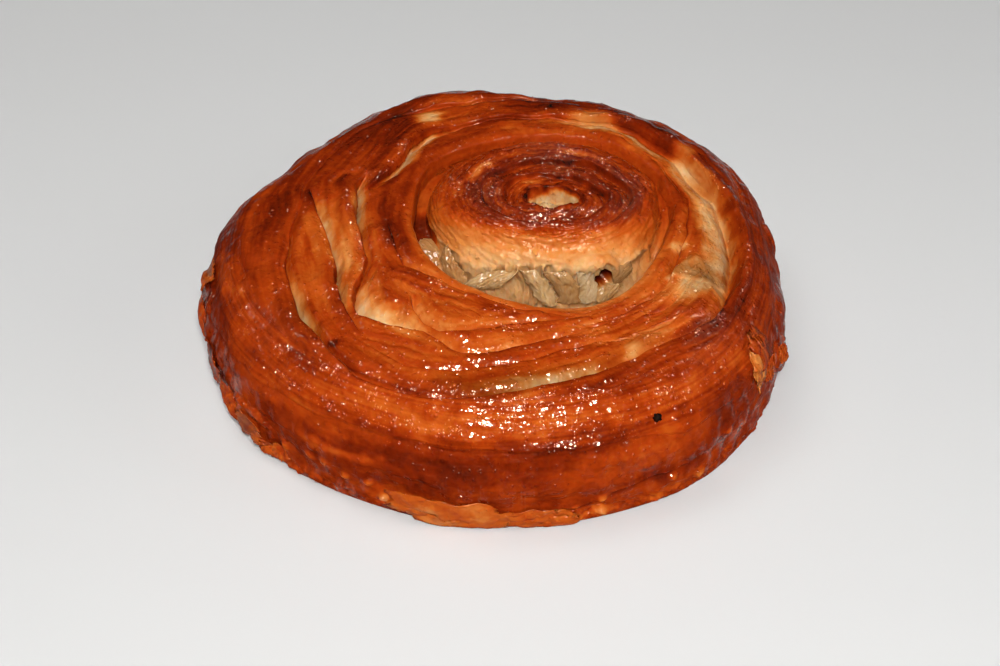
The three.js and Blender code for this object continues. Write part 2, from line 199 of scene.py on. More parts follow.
# the section line's guide points at each angle: up over the heart, down into the hollow, up over the
# bands, round the shoulder as a quarter ellipse, down the side and in to the flat base
def guideLines(degrees):
    f = form
    rim = around(f["outline"], degrees)
    top = around(f["heartTop"], degrees)
    under = around(f["heartUnder"], degrees)
    hollow = around(f["hollowRim"], degrees)
    wide = np.clip(around(f["hollowOpen"], degrees), 0, 1)
    lip = around(f["heartLip"], degrees)
    tuck = np.clip(around(f["heartTuck"], degrees), 0, 1.4) * wide      # the wall draws in under the lip
    lobes = np.abs(np.sin(np.radians(degrees * 6 + 60 * np.sin(np.radians(degrees * 2 + 30))))) - 0.5
    lip = lip + (1.1 * lobes + 0.5 * np.sin(np.radians(degrees * 17 + 20))) * np.clip(tuck, 0.15, 1) * wide
    groove = f["band"] - 3.0
    bandZ = f["band"] + 0.7 * np.sin(np.radians(degrees - 40))
    one = np.ones_like(degrees)

    def deep(z):
        return groove + (z - groove) * wide

    points = [
        (0 * one, (f["crown"] - f["eye"]) * one),
        (top * 0.16, (f["crown"] - f["eye"] + 0.4) * one),
        (top * 0.34, (f["crown"] - 0.3) * one),
        (top * 0.68, f["crown"] * one),
        (top * 0.90, (f["crown"] - 1.1) * one),
        (top + (under - top) * 0.25, (f["crown"] - 3.6) * one),
        (top + (under - top) * 0.7 + 0.5 * wide, deep(lip + 1.6)),
        (under, deep(lip)),
        (under - 0.2 * wide - 1.3 * tuck, deep(lip - 1.7)),
        (under - 0.4 * wide - 2.4 * tuck + 0.2, deep(f["hollow"] + 7)),
        (under + 0.8 * wide - 1.8 * tuck + 0.3, deep(f["hollow"] + 0.8)),
        (under + (hollow - under) * 0.5, deep(f["hollow"])),
        (hollow - 0.5 * wide, deep(f["hollow"] + 1.5)),
        (hollow + 1.3 * wide, deep(f["hollow"] + 7)),
        (hollow + 0.5 * wide, deep(24.5)),
        (hollow + 0.2, bandZ - 2.0),
        (hollow + 1.6, bandZ),
        (hollow + (rim - f["shoulder"] - hollow) * 0.55, bandZ + 0.2),
    ]
    for turn in (0.06, 0.27, 0.48, 0.7, 0.86, 1):
        bend = turn * math.pi / 2
        points.append((rim - f["shoulder"] * (1 - math.sin(bend)),
                       f["belly"] + (bandZ - f["belly"]) * math.cos(bend)))
    foot = rim - f["footIn"]
    points += [(rim - f["footIn"] * 0.2, f["belly"] * 0.7 * one), (rim - f["footIn"] * 0.6, f["belly"] * 0.38 * one),
               (foot, 1.4 * one), (foot - 1.1, 0.2 * one), (foot - 2.6, 0 * one)]
    return np.stack([np.stack(p, -1) for p in points], 1)      # angle, guide, (reach, height)


# a uniform Catmull-Rom line through the guides, at places t counted in guides
def onLine(guides, t):
    last = guides.shape[1] - 1
    i = np.clip(np.floor(t).astype(int), 0, last - 1)
    u = (t - i)[..., None]
    rows = np.arange(len(guides))[:, None]
    a = guides[rows, np.maximum(i - 1, 0)]
    b = guides[rows, i]
    c = guides[rows, i + 1]
    d = guides[rows, np.minimum(i + 2, last)]
    return b + 0.5 * u * (c - a + u * (2 * a - 5 * b + 4 * c - d + u * (3 * (b - c) + d - a)))


# where an edge has sunk into a soft slope: 0 for a sharp wall, 1 for a slope about 3 mm wide
softened = [(314, 0), (328, 0.9), (350, 1), (400, 0.8), (425, 0.5), (445, 0)]


# every edge on every turn at these angles, one row each: reach, which wanders by a few sines of the angle, step,
# low width, paleness and softness
def edgeTable(degrees):
    rows = []
    for n, table in enumerate(edges.values()):
        for turn in (-360, 0, 360):
            values, inside = stations(table, degrees + turn)
            if not inside.any():
                continue
            a = np.radians(degrees + turn)
            wander = 0.35 * np.sin(7.3 * a + n) + 0.22 * np.sin(13.1 * a + 2.1 * n) + 0.12 * np.sin(29.0 * a + n)
            soft = stations(softened, degrees + turn)[0] * (n == 0)      # the outer edge alone has sunk
            values = np.concatenate([values, soft], 1)
            values[:, 0] += wander
            values[:, 1] = np.where(inside, values[:, 1] * (1 + 0.12 * np.sin(11.7 * a + 1.3 * n)), 0)
            rows.append(values)
    return np.stack(rows)


# the heart winds round its own eye, nearer its front: reach from that eye, scaled so that the heart's edge is
# at 20. The cup is the hollow in its middle, drawn out to a point on its right
heart = {"eye": (11.2, 6.2), "windFrom": 160, "turns": 3, "pitch": 5.4, "step": 1.25, "low": 3.6,
         "edge": [21.6, 20.6, 19.2, 18.4, 18.2, 18.4, 19.2, 19.6, 18.4, 15.6, 12.4, 11.0, 10.8, 11.8, 14.6, 18.6],
         "edgeAt": 20.0, "firstTurn": 18.9, "cup": (12.9, 7.9), "cupRadii": (5.8, 4.1), "cupDeep": 2.8,
         "cupPoint": 0.55}


def heartChart(x, y):
    dx, dy = x - heart["eye"][0], y - heart["eye"][1]
    away = np.degrees(np.arctan2(dy, dx))
    return np.hypot(dx, dy) / around(heart["edge"], away) * heart["edgeAt"], away


# how far the winding has come at this angle, from 0 to 1
def heartWind(away):
    return np.mod(away + heart["windFrom"], 360) / 360


# the heart's turns: low steps on a spiral that shrinks by one pitch a turn
def heartRelief(x, y):
    near, away = heartChart(x, y)
    depth, pale, crest, seam = (np.zeros_like(near) for k in range(4))
    for n in range(heart["turns"]):
        def wave(count, start):
            return np.sin(np.radians(away * count + start * n))

        run = heartWind(away) + n
        line = heart["firstTurn"] - heart["pitch"] * run * (1 - 0.03 * run) + 0.45 * wave(3, 70) + 0.25 * wave(8, 40)
        step = heart["step"] * ease(0, 0.15, run) * ease(2.6, 4.2, line) * (1 + 0.35 * wave(2, 100))
        sure = np.clip(step, 0, 1)
        inside = line - near
        wall = ease(-0.22, 0.22, inside)
        back = np.clip(1 - np.clip(inside, 0, None) / heart["low"], 0, 1)
        # seam marks the crevices at the foot of the step walls, where shade is later painted
        seam = np.maximum(seam, sure * np.exp(-((inside - 0.25) / 0.4) ** 2))
        depth += step * wall * back ** 1.4 - 0.2 * step * np.exp(-((inside + 1.0) / 1.2) ** 2) * (1 - wall)
        pale = np.maximum(pale, wall * back ** 2 * sure)
        crest = np.maximum(crest, (1 - wall) * np.exp(-((inside + 0.4) / 1.0) ** 2) * sure)
    cupX, cupY = x - heart["cup"][0], y - heart["cup"][1]
    wide, tall = heart["cupRadii"]
    pointed = 1 + heart["cupPoint"] * ease(0, 6, cupX)
    cupEdge = np.hypot(cupX / wide, cupY * pointed / tall) + 0.035 * ripple(x, y, 3.4, 7.7)
    cup = 1 - ease(0.62, 1.0, cupEdge)
    seam = np.maximum(seam, 0.9 * np.exp(-((cupEdge - 1.02) / 0.13) ** 2))
    depth += heart["cupDeep"] * cup - 1.2 * np.exp(-(cupX + 1.5) ** 2 / 5 - (cupY + 0.6) ** 2 / 2.5)
    return depth, pale, crest, cup, seam, near


# how deep the skin lies below its own curve, and how far it leans over:
# depth = step * (1 - inside/low)^1.6 on the low side, with a small crest on the high side, and
# lean = over * exp(-|inside|), towards the centre above the edge and away from it below
def stepRelief(table, reach):
    depth, lean, pale, crest, seam = (np.zeros_like(reach) for k in range(5))
    for row in table:
        edgeReach, step, low, light, soft = (row[:, c:c + 1] for c in range(5))
        sure = np.clip(step / 1.6, 0, 1)
        inside = edgeReach - reach
        wide = 0.32 + 1.3 * soft
        wall = ease(0, 1, (inside + wide) / (2 * wide))
        back = np.clip(1 - np.clip(inside, 0, None) / low, 0, 1)
        depth += step * wall * back ** 1.6
        depth -= 0.20 * step * np.exp(-((inside + 1.5) / 1.7) ** 2) * (1 - wall)
        over = np.clip(step * 0.16, 0, 0.8) * (1 - soft)
        lean += np.where(inside < 0, -over, over * 0.7) * np.exp(-np.abs(inside) / 0.9)
        paleWall = ease(0, 1, (inside + 0.32 - 0.9 * soft) / (0.64 + 2.8 * soft))
        pale = np.maximum(pale, light * ease(0, 1.2, step) * paleWall * (1 - (1 - back) ** 2.2))
        crest = np.maximum(crest, sure * (1 - wall) * np.exp(-((inside + 0.5) / 1.6) ** 2))
        # seam marks the crevice at the foot of each wall, where shade is later painted
        seam = np.maximum(seam, (1 - soft) * sure * np.exp(-((inside + 0.1) / 0.4) ** 2))
    return depth, lean, pale, crest, seam


# rows placed along the section between two guides, evenly by length * (1 + crowd where an edge passes)
def rowPlaces(guides, table, start, end, count, crowd):
    t = np.linspace(start, end, skin["fineSteps"])[None].repeat(len(guides), 0)
    line = onLine(guides, t)
    length = np.hypot(*np.moveaxis(np.diff(line, axis=1), -1, 0))
    middle = 0.5 * (line[:, 1:, 0] + line[:, :-1, 0])
    weight = np.ones_like(middle)
    for row in table:
        weight += crowd * np.clip(row[:, 1:2] / 2, 0, 1) * np.exp(-((middle - row[:, 0:1]) / 0.7) ** 2)
    run = np.concatenate([np.zeros((len(guides), 1)), np.cumsum(length * weight, 1)], 1)
    column, nearlyOne = np.arange(len(guides))[:, None], 0.999999
    share = run / run[:, -1:] * nearlyOne + column
    goal = np.linspace(0, 1, count + 1)[None] * nearlyOne + column
    return np.interp(goal.ravel(), share.ravel(), t.ravel()).reshape(goal.shape)


print("skin: laying out the section round the coil")
skin = {"angles": 720, "fineSteps": 700, "heartRows": 110, "hollowRows": 120, "bandRows": 204, "sideRows": 86,
        "baseRows": 8, "heartEnd": 4.6, "hollowEnd": 15.6, "bandEnd": 22.4, "shoulderFrom": 18.4, "sideFrom": 19.0,
        "crowd": 2.4}
degrees = np.arange(skin["angles"]) * 360.0 / skin["angles"]
bandStart = skin["heartRows"] + skin["hollowRows"] + 1      # the first row on the bands


# the turn from one angle to another, from -180 to 180, and from an angle to each column of the skin
def turnBetween(at, angle):
    return np.mod(angle - at + 180, 360) - 180


def turnFrom(at):
    return turnBetween(at, degrees[:, None])


# a soft round spot: exp(-(a^2 + b^2)^1.5)
def spot(a, b):
    return np.exp(-(a ** 2 + b ** 2) ** 1.5)


# creases round the side, where one skin ends over the next: angle, height, depth
creases = {
    "band": [(168, 20, 0), (190, 19, 0.4), (215, 20, 0.4), (245, 21.5, 0.45), (275, 21, 0.4),
             (305, 18, 0.4), (330, 17, 0)],
    "foot": [(258, 2.5, 0), (270, 5.3, 1.0), (278, 7.6, 1.3), (286, 9.7, 1.4), (294, 10.8, 1.3),
             (302, 12.2, 1.1), (310, 14.6, 0.8), (320, 18, 0)],
}
# loose skins that stand out from it: angle, height, half span, half height, how far
looseSkin = [(316, 20.5, 4, 4, 0.8), (326, 14, 4, 4, 0.6), (195, 17, 6, 5, 0.7), (215, 8, 6, 4, 0.8),
             (2, 15, 4, 6, 0.6)]

guides = guideLines(degrees)
lastGuide = guides.shape[1] - 1
bandTable = edgeTable(degrees)
noEdges = np.zeros((0, len(degrees), 5))
places, start = [], 0.0
for part in ("heart", "hollow", "band", "side"):
    end = skin.get(part + "End", lastGuide)
    table = bandTable if part == "band" else noEdges
    rows = rowPlaces(guides, table, start, end, skin[part + "Rows"], skin["crowd"])
    places.append(rows[:, 1:] if places else rows)
    start = end
t = np.concatenate(places, 1)

line = onLine(guides, t)
ahead = unit(onLine(guides, np.minimum(t + 0.01, lastGuide)) - onLine(guides, np.maximum(t - 0.01, 0)))
out = np.stack([-ahead[..., 1], ahead[..., 0]], -1)        # outward, in the section's plane
reach, height = line[..., 0], line[..., 1]
rim, hollowRim = (around(form[key], degrees)[:, None] for key in ("outline", "hollowRim"))
opened = np.clip(around(form["hollowOpen"], degrees), 0, 1)[:, None]
turn = np.radians(degrees)[:, None]
x = coil["x"] + reach * np.cos(turn)
y = coil["y"] + reach * np.sin(turn)

# steps of the strip
heartDepth, heartPale, heartCrest, heartCup, heartSeam, heartNear = heartRelief(x, y)
bandDepth, bandLean, bandPale, bandCrest, bandSeam = stepRelief(bandTable, reach)
heartFade = 1 - ease(4.2, 4.9, t)
bandFade = ease(15.4, 16.4, t)
depth = heartDepth * heartFade + bandDepth * bandFade
lean = bandLean * bandFade
pale = bandPale * bandFade
crest = np.maximum(heartCrest * heartFade, bandCrest * bandFade)

# the side's own creases and loose skins
side = ease(18.6, 20.5, t) * ease(0.4, 3, height)
proud, under = np.zeros_like(reach), np.zeros_like(reach)
for key, table in creases.items():
    values, inside = stations(table, degrees)
    level, deep = values[:, 0:1], np.where(inside, values[:, 1], 0)[:, None]
    above = height - level + 0.5 * ripple(x, y, 14, 3.1)
    proud += deep * 0.55 * ease(-0.15, 0.2, above) * np.exp(-np.clip(above, 0, None) / 3.5)
    proud -= deep * 0.5 * ease(0.15, -0.2, above) * np.exp(np.clip(above, None, 0) / 1.6)
    # painted shade: the skin just under each crease is darkened as shade, fully at the foot's crease and a quarter
    # at the band's
    shade = 1.0 if key == "foot" else 0.25
    under = np.maximum(under, shade * deep * ease(0.1, -0.2, above) * np.exp(np.clip(above, None, 0) / 0.9))
for angle, level, wide, tall, outBy in looseSkin:
    a = (turnFrom(angle) + 1.2 * ripple(x, y, 6, angle)) / wide
    b = (height - level + 0.7 * ripple(x, y + height, 5, angle + 2)) / tall
    proud += outBy * ease(1.06, 0.94, np.sqrt(a * a + b * b))
proud *= side

# the lines that the layers follow: the coil's rim, carried on down the side, the hollow's rim and every edge.
# A run is the distance from a line across the layers; a line counts as nearer the higher its step.
sectionSteps = np.cumsum(np.hypot(*np.moveaxis(np.diff(line, axis=1), -1, 0)), 1)
sectionRun = np.concatenate([np.zeros((len(degrees), 1)), sectionSteps], 1)
below = t >= skin["sideFrom"]
startOut = np.argmax(below, axis=1)[:, None]
rimRun = reach - rim
downSide = np.take_along_axis(rimRun, startOut, 1) + sectionRun - np.take_along_axis(sectionRun, startOut, 1)
rimRun = np.where(below, downSide, rimRun)
onSide = ease(18.5, 19.3, t)
lineRuns = [rimRun, reach - hollowRim] + [reach - row[:, 0:1] for row in bandTable]
lineRuns = [run.astype(np.float32) for run in lineRuns]
farness = [np.abs(lineRuns[0]) * 0.9 * (1 - onSide), np.abs(lineRuns[1]) / 0.8 + 40 * onSide]
for row, run in zip(bandTable, lineRuns[2:]):
    farness.append(np.abs(run) / np.clip(row[:, 1:2] / 1.6, 0.02, 1.15) + 40 * onSide)
nearest = np.min(farness, 0)
nearness = [np.exp(-(far - nearest) / 1.5).astype(np.float32) for far in farness]
nearnessSum = np.sum(nearness, 0)
meanRim = 45.0
alongX, alongY = (np.broadcast_to(meanRim * way(turn), reach.shape).astype(np.float32) for way in (np.cos, np.sin))


# a pattern that follows the lines: each line's own pattern, shared out by nearness
def alongLines(pattern):
    total = np.zeros_like(nearnessSum)
    for k, run in enumerate(lineRuns):
        spots = nearness[k] > 0.01
        total[spots] += nearness[k][spots] * pattern(run[spots], spots, k)
    return total / nearnessSum


# ripples drawn out along the strip, which close on themselves round the coil
def strands(length, stretch, seed):
    return alongLines(lambda run, spots, k: ripple3(run, alongX[spots] / stretch, alongY[spots] / stretch,
                                                    length, seed + 0.71 * k))


# one layer's edge after another: rises along the layer, then drops sharply
def layered(s):
    f = np.mod(s, 1.0)
    return f * ease(1.0, 0.75, f) - 0.4


print("skin: strands and layers")
broad, middle, fine = strands(5.5, 5, 1.0), strands(2.4, 8, 2.0), strands(0.95, 14, 3.0)
drift = 0.8 * ripple(x, y, 26, 1.3) + 0.3 * ripple3(x, y, height, 9, 4.1)
layers = alongLines(lambda run, spots, k: 0.20 * layered((run + drift[spots]) / 2.4 + 0.37 * k)
                    + 0.11 * layered((run + 1.4 * drift[spots]) / 1.15))
fromFront = turnFrom(262)
frontBand = np.exp(-(fromFront / 44) ** 4) * ease(17.8, 18.8, t) * ease(21.2, 20.4, t)
ringBand = np.exp(-(fromFront / 50) ** 4 - ((reach - 36.5) / 6.0) ** 4) * ease(15.6, 16.4, t)
# the layers show most on the front band and the ring round the hollow, and not on pale dough
layerMask = 0.25 + 0.6 * ease(0.2, 1.2, ripple3(x, y, height, 19, 2.2))
layerMask = np.maximum(layerMask, 1.1 * frontBand + ringBand) * (1 - 0.8 * ease(0.05, 0.5, pale))
heartAway = heartChart(x, y)[1]
heartTurn = heartWind(heartAway)
heartX, heartY = np.cos(np.radians(heartAway)), np.sin(np.radians(heartAway))


# ripples wound with the heart's own spiral: two copies a turn apart, faded into each other so that they meet
def wound(length, stretch, seed):
    one, other = (ripple3(heartNear + heart["pitch"] * (heartTurn - k), 12 * heartX / stretch,
                          12 * heartY / stretch, length, seed) for k in (0, 1))
    return mixed(one, other, heartTurn) / np.hypot(1 - heartTurn, heartTurn)


heartFine, heartFolds = wound(1.1, 6.0, 6.4), wound(2.6, 3.4, 6.9)
# how high each kind of relief stands in mm, or a ripple's height, length and seed
relief = {"wobble": [(0.30, 23, 5.0), (0.22, 10, 6.0), (0.07, 4.2, 7.0)], "broad": 0.16, "middle": 0.10,
          "fine": 0.035, "heartFine": 0.13, "heartFolds": 0.20, "heartRough": (0.06, 1.7, 6.0), "sideBands": 0.28,
          "crumple": 0.22, "hollowFloor": 0.22, "largeBubbles": 0.30, "smallBubbles": 0.12, "wallLines": 0.11,
          "wallRough": (0.05, 1.6, 24.0), "wrinkles": 0.24, "everywhere": 0.08, "crepe": 0.09,
          "fineCrepe": (0.05, 1.1, 26.0), "sheet": 0.45, "puckers": 0.14, "drips": 0.13,
          "foot": [(0.32, 2.2, 35.0), (0.10, 1.0, 36.0)], "blisters": 1.3, "folds": 1.1, "foldCrepe": 0.10,
          "hole": 3.5}
layersHeart = relief["heartFine"] * heartFine + relief["heartFolds"] * (1 - 1.2 * np.abs(heartFolds))
layersHeart += ripples(x, y, height, [relief["heartRough"]])
sideBands = ripple3(x * 0.22, y * 0.22, height, 7.0, 8.0) * relief["sideBands"] * side
crumple = (1 - np.abs(ripple3(x, y, height * 1.6, 7.5, 9.0))) * relief["crumple"] * side * ease(20, 14, height)
bubbles = relief["largeBubbles"] * ease(1.25, 2.2, ripple3(x, y, height, 5.5, 10.0))
bubbles += relief["smallBubbles"] * ease(1.3, 2.0, ripple3(x, y, height, 2.4, 11.0))
keep = ease(0.2, 2.5, height)
heartIn = ease(0.3, 1.5, reach)

swell = ripples(x, y, height, relief["wobble"]) + sideBands + crumple + bubbles * (1 - 0.95 * side)
swell = swell * keep * heartIn
strandRelief = relief["broad"] * broad + relief["middle"] * middle + relief["fine"] * fine * (0.5 + frontBand)
swell += (layers * layerMask * (1 - 0.75 * side) + strandRelief * (1 - 0.5 * side)) * bandFade * keep
heartFront = ease(2.7, 3.4, t) * ease(7.2, 6.4, t)
wallLines = relief["wallLines"] * ripple3(sectionRun, 3 * heartX, 3 * heartY, 1.3, 23.0)
swell += heartFront * (wallLines + ripples(x, y, height, [relief["wallRough"]]))
swell += layersHeart * heartFade * heartIn
floorRipple = relief["hollowFloor"] * ripple3(x, y, height * 0.6, 5.5, 17.0)
swell += floorRipple * ease(6.8, 7.6, t) * ease(10.5, 9.5, t) + proud
# wrinkled caramel where the turns meet at the front and the right, and crepe on all the pale dough
wrinkled = np.exp(-(turnFrom(318) / 62) ** 4) * ease(17.9, 17.2, t) * bandFade
pocket = np.clip(pale, 0, 1)
wrinkles = (1 - 1.25 * np.abs(strands(3.0, 2.6, 21.0))) * (0.6 + 0.4 * ripple3(x, y, height, 7, 22.0))
wrinkles = (relief["everywhere"] + relief["wrinkles"] * wrinkled) * np.clip(wrinkles, -0.6, 1.2)
swell += wrinkles * bandFade * keep * (1 - side) * (1 - pocket)
creped = 1 - 1.3 * np.abs(ripple3(x, y, height, 2.6, 25.0))
swell += pocket * (relief["crepe"] * creped + ripples(x, y, height, [relief["fineCrepe"]]))


# a groove or a ridge along the strip: depth * exp(-(turn/span)^4 - (place/width)^2)
def furrow(at, place, slope, span, wide):
    turnBy = turnFrom(at)
    return np.exp(-(turnBy / span) ** 4 - ((reach - place - slope * turnBy) / wide) ** 2) * bandFade


# angle, place, place's change in mm a degree, half span in degrees, width, depth
furrows = [(335, 40.2, -0.232, 9, 1.3, 0.9), (341, 40.9, -0.232, 12, 1.2, -0.5),
           (322, 31.0, -0.10, 12, 0.9, 0.5), (335, 33.2, -0.15, 12, 0.8, -0.5),
           (352, 30.6, -0.06, 16, 0.8, 0.4), (300, 40.8, -0.16, 12, 0.8, 0.4),
           (284, 43.2, -0.14, 12, 0.7, -0.3), (268, 40.0, -0.12, 14, 0.7, 0.35),
           (250, 52.6, -0.1, 12, 0.8, 0.35), (196, 46.0, 0.1, 8, 0.9, 0.4), (306, 50.6, -0.2, 14, 0.9, 0.4),
           (200, 58.0, 0.2, 10, 1.0, 0.4)]
for *where, deep in furrows:
    swell -= deep * furrow(*where)
# a clear sheet of dough that ends in a straight edge on the right, puckered along its length
sheetFrom = turnFrom(313.5)
sheet = ease(-0.5, 0.7, sheetFrom - (reach - 34.2) * 1.35) * ease(17.5, 10, sheetFrom)
sheet *= ease(32.4, 33.6, reach) * ease(43.2, 41.8, reach) * bandFade * (1 - side)
puckers = 1 - 1.2 * np.abs(ripple(sheetFrom * 0.75 + 0.5 * reach, reach * 0.35, 1.7, 33.0))
swell += sheet * (relief["sheet"] + relief["puckers"] * puckers)
drips = ripple3(x, y, height * 0.35, 4.6, 34.0)
foot = side * ease(7, 2.5, height)
swell += side * relief["drips"] * drips * ease(24, 19, height) + foot * ripples(x, y, height, relief["foot"])
# blisters on the side: angle, height, radius in mm, how far they stand out
blisters = [(278, 7.6, 1.0, 0.7), (278, 3.2, 1.1, 0.6), (291.5, 7.9, 0.9, 0.7), (297.5, 4.9, 1.2, 0.7),
            (273.5, 5.6, 0.8, 0.4), (231.5, 9.9, 1.3, 0.6), (235, 8.3, 1.0, 0.5), (239, 8.4, 0.9, 0.6),
            (241.5, 4.9, 1.0, 0.6), (228.5, 9.5, 1.1, 0.5), (223, 7.5, 1.2, 0.5), (304.5, 12, 1.0, 0.5),
            (246, 7.0, 0.8, 0.4), (310, 9.5, 1.0, 0.5)]
blistered = np.zeros_like(x)
for angle, level, wide, tall in blisters:
    dome = spot(np.radians(turnFrom(angle)) * rim / wide, (height - level) / wide)
    swell += relief["blisters"] * tall * dome * side
    blistered = np.maximum(blistered, dome * side)
# the hollow's own skin hangs in folds: ridges where a slow ripple crosses zero, with crepe between them
inHollow = ease(6.5, 7.3, t) * (1 - ease(13.2, 14.4, t)) * opened
foldAcross, foldDown = degrees[:, None] * 0.38, 0.4 * sectionRun
folds = 1 - np.abs(ripple(foldAcross + 0.4 * foldDown, foldDown, 5.2, 31.0)) * 1.1
crepe = ripple(foldAcross - 0.6 * foldDown, foldDown * 0.7, 0.9, 32.0)
swell += inHollow * (relief["folds"] * folds + relief["foldCrepe"] * crepe)
holeAt = (turnFrom(303.5) / 6.5) ** 2 + ((height - 22.8) / 2.4) ** 2
hole = np.exp(-holeAt ** 3) * (t > 6.2) * (t < 9.8)
swell -= relief["hole"] * hole

moved = line + out * (swell - depth)[..., None] + ahead * lean[..., None]
reachOut, heightOut = np.maximum(moved[..., 0], 0), np.maximum(moved[..., 1], 0)
# the base closes on the coil's own middle
baseShare = np.linspace(1, 0, skin["baseRows"] + 1)[1:]
reachOut = np.concatenate([reachOut, reachOut[:, -1:] * baseShare[None]], 1)
heightOut = np.concatenate([heightOut, np.zeros((len(degrees), skin["baseRows"]))], 1)


# a field of the skin carried on over the base from its last row
def padded(field):
    return np.concatenate([field, field[:, -1:].repeat(skin["baseRows"], 1)], 1)


# vertex normals of a grid that closes on itself: the cross product of the differences along its two ways
def gridNormals(points):
    return unit(np.cross(np.gradient(points, axis=1), np.roll(points, -1, 0) - np.roll(points, 1, 0)))


grid = np.stack([coil["x"] + reachOut * np.cos(turn), coil["y"] + reachOut * np.sin(turn), heightOut], -1)
grid[:, 0] = grid[:, 0].mean(0)
normals = gridNormals(grid)


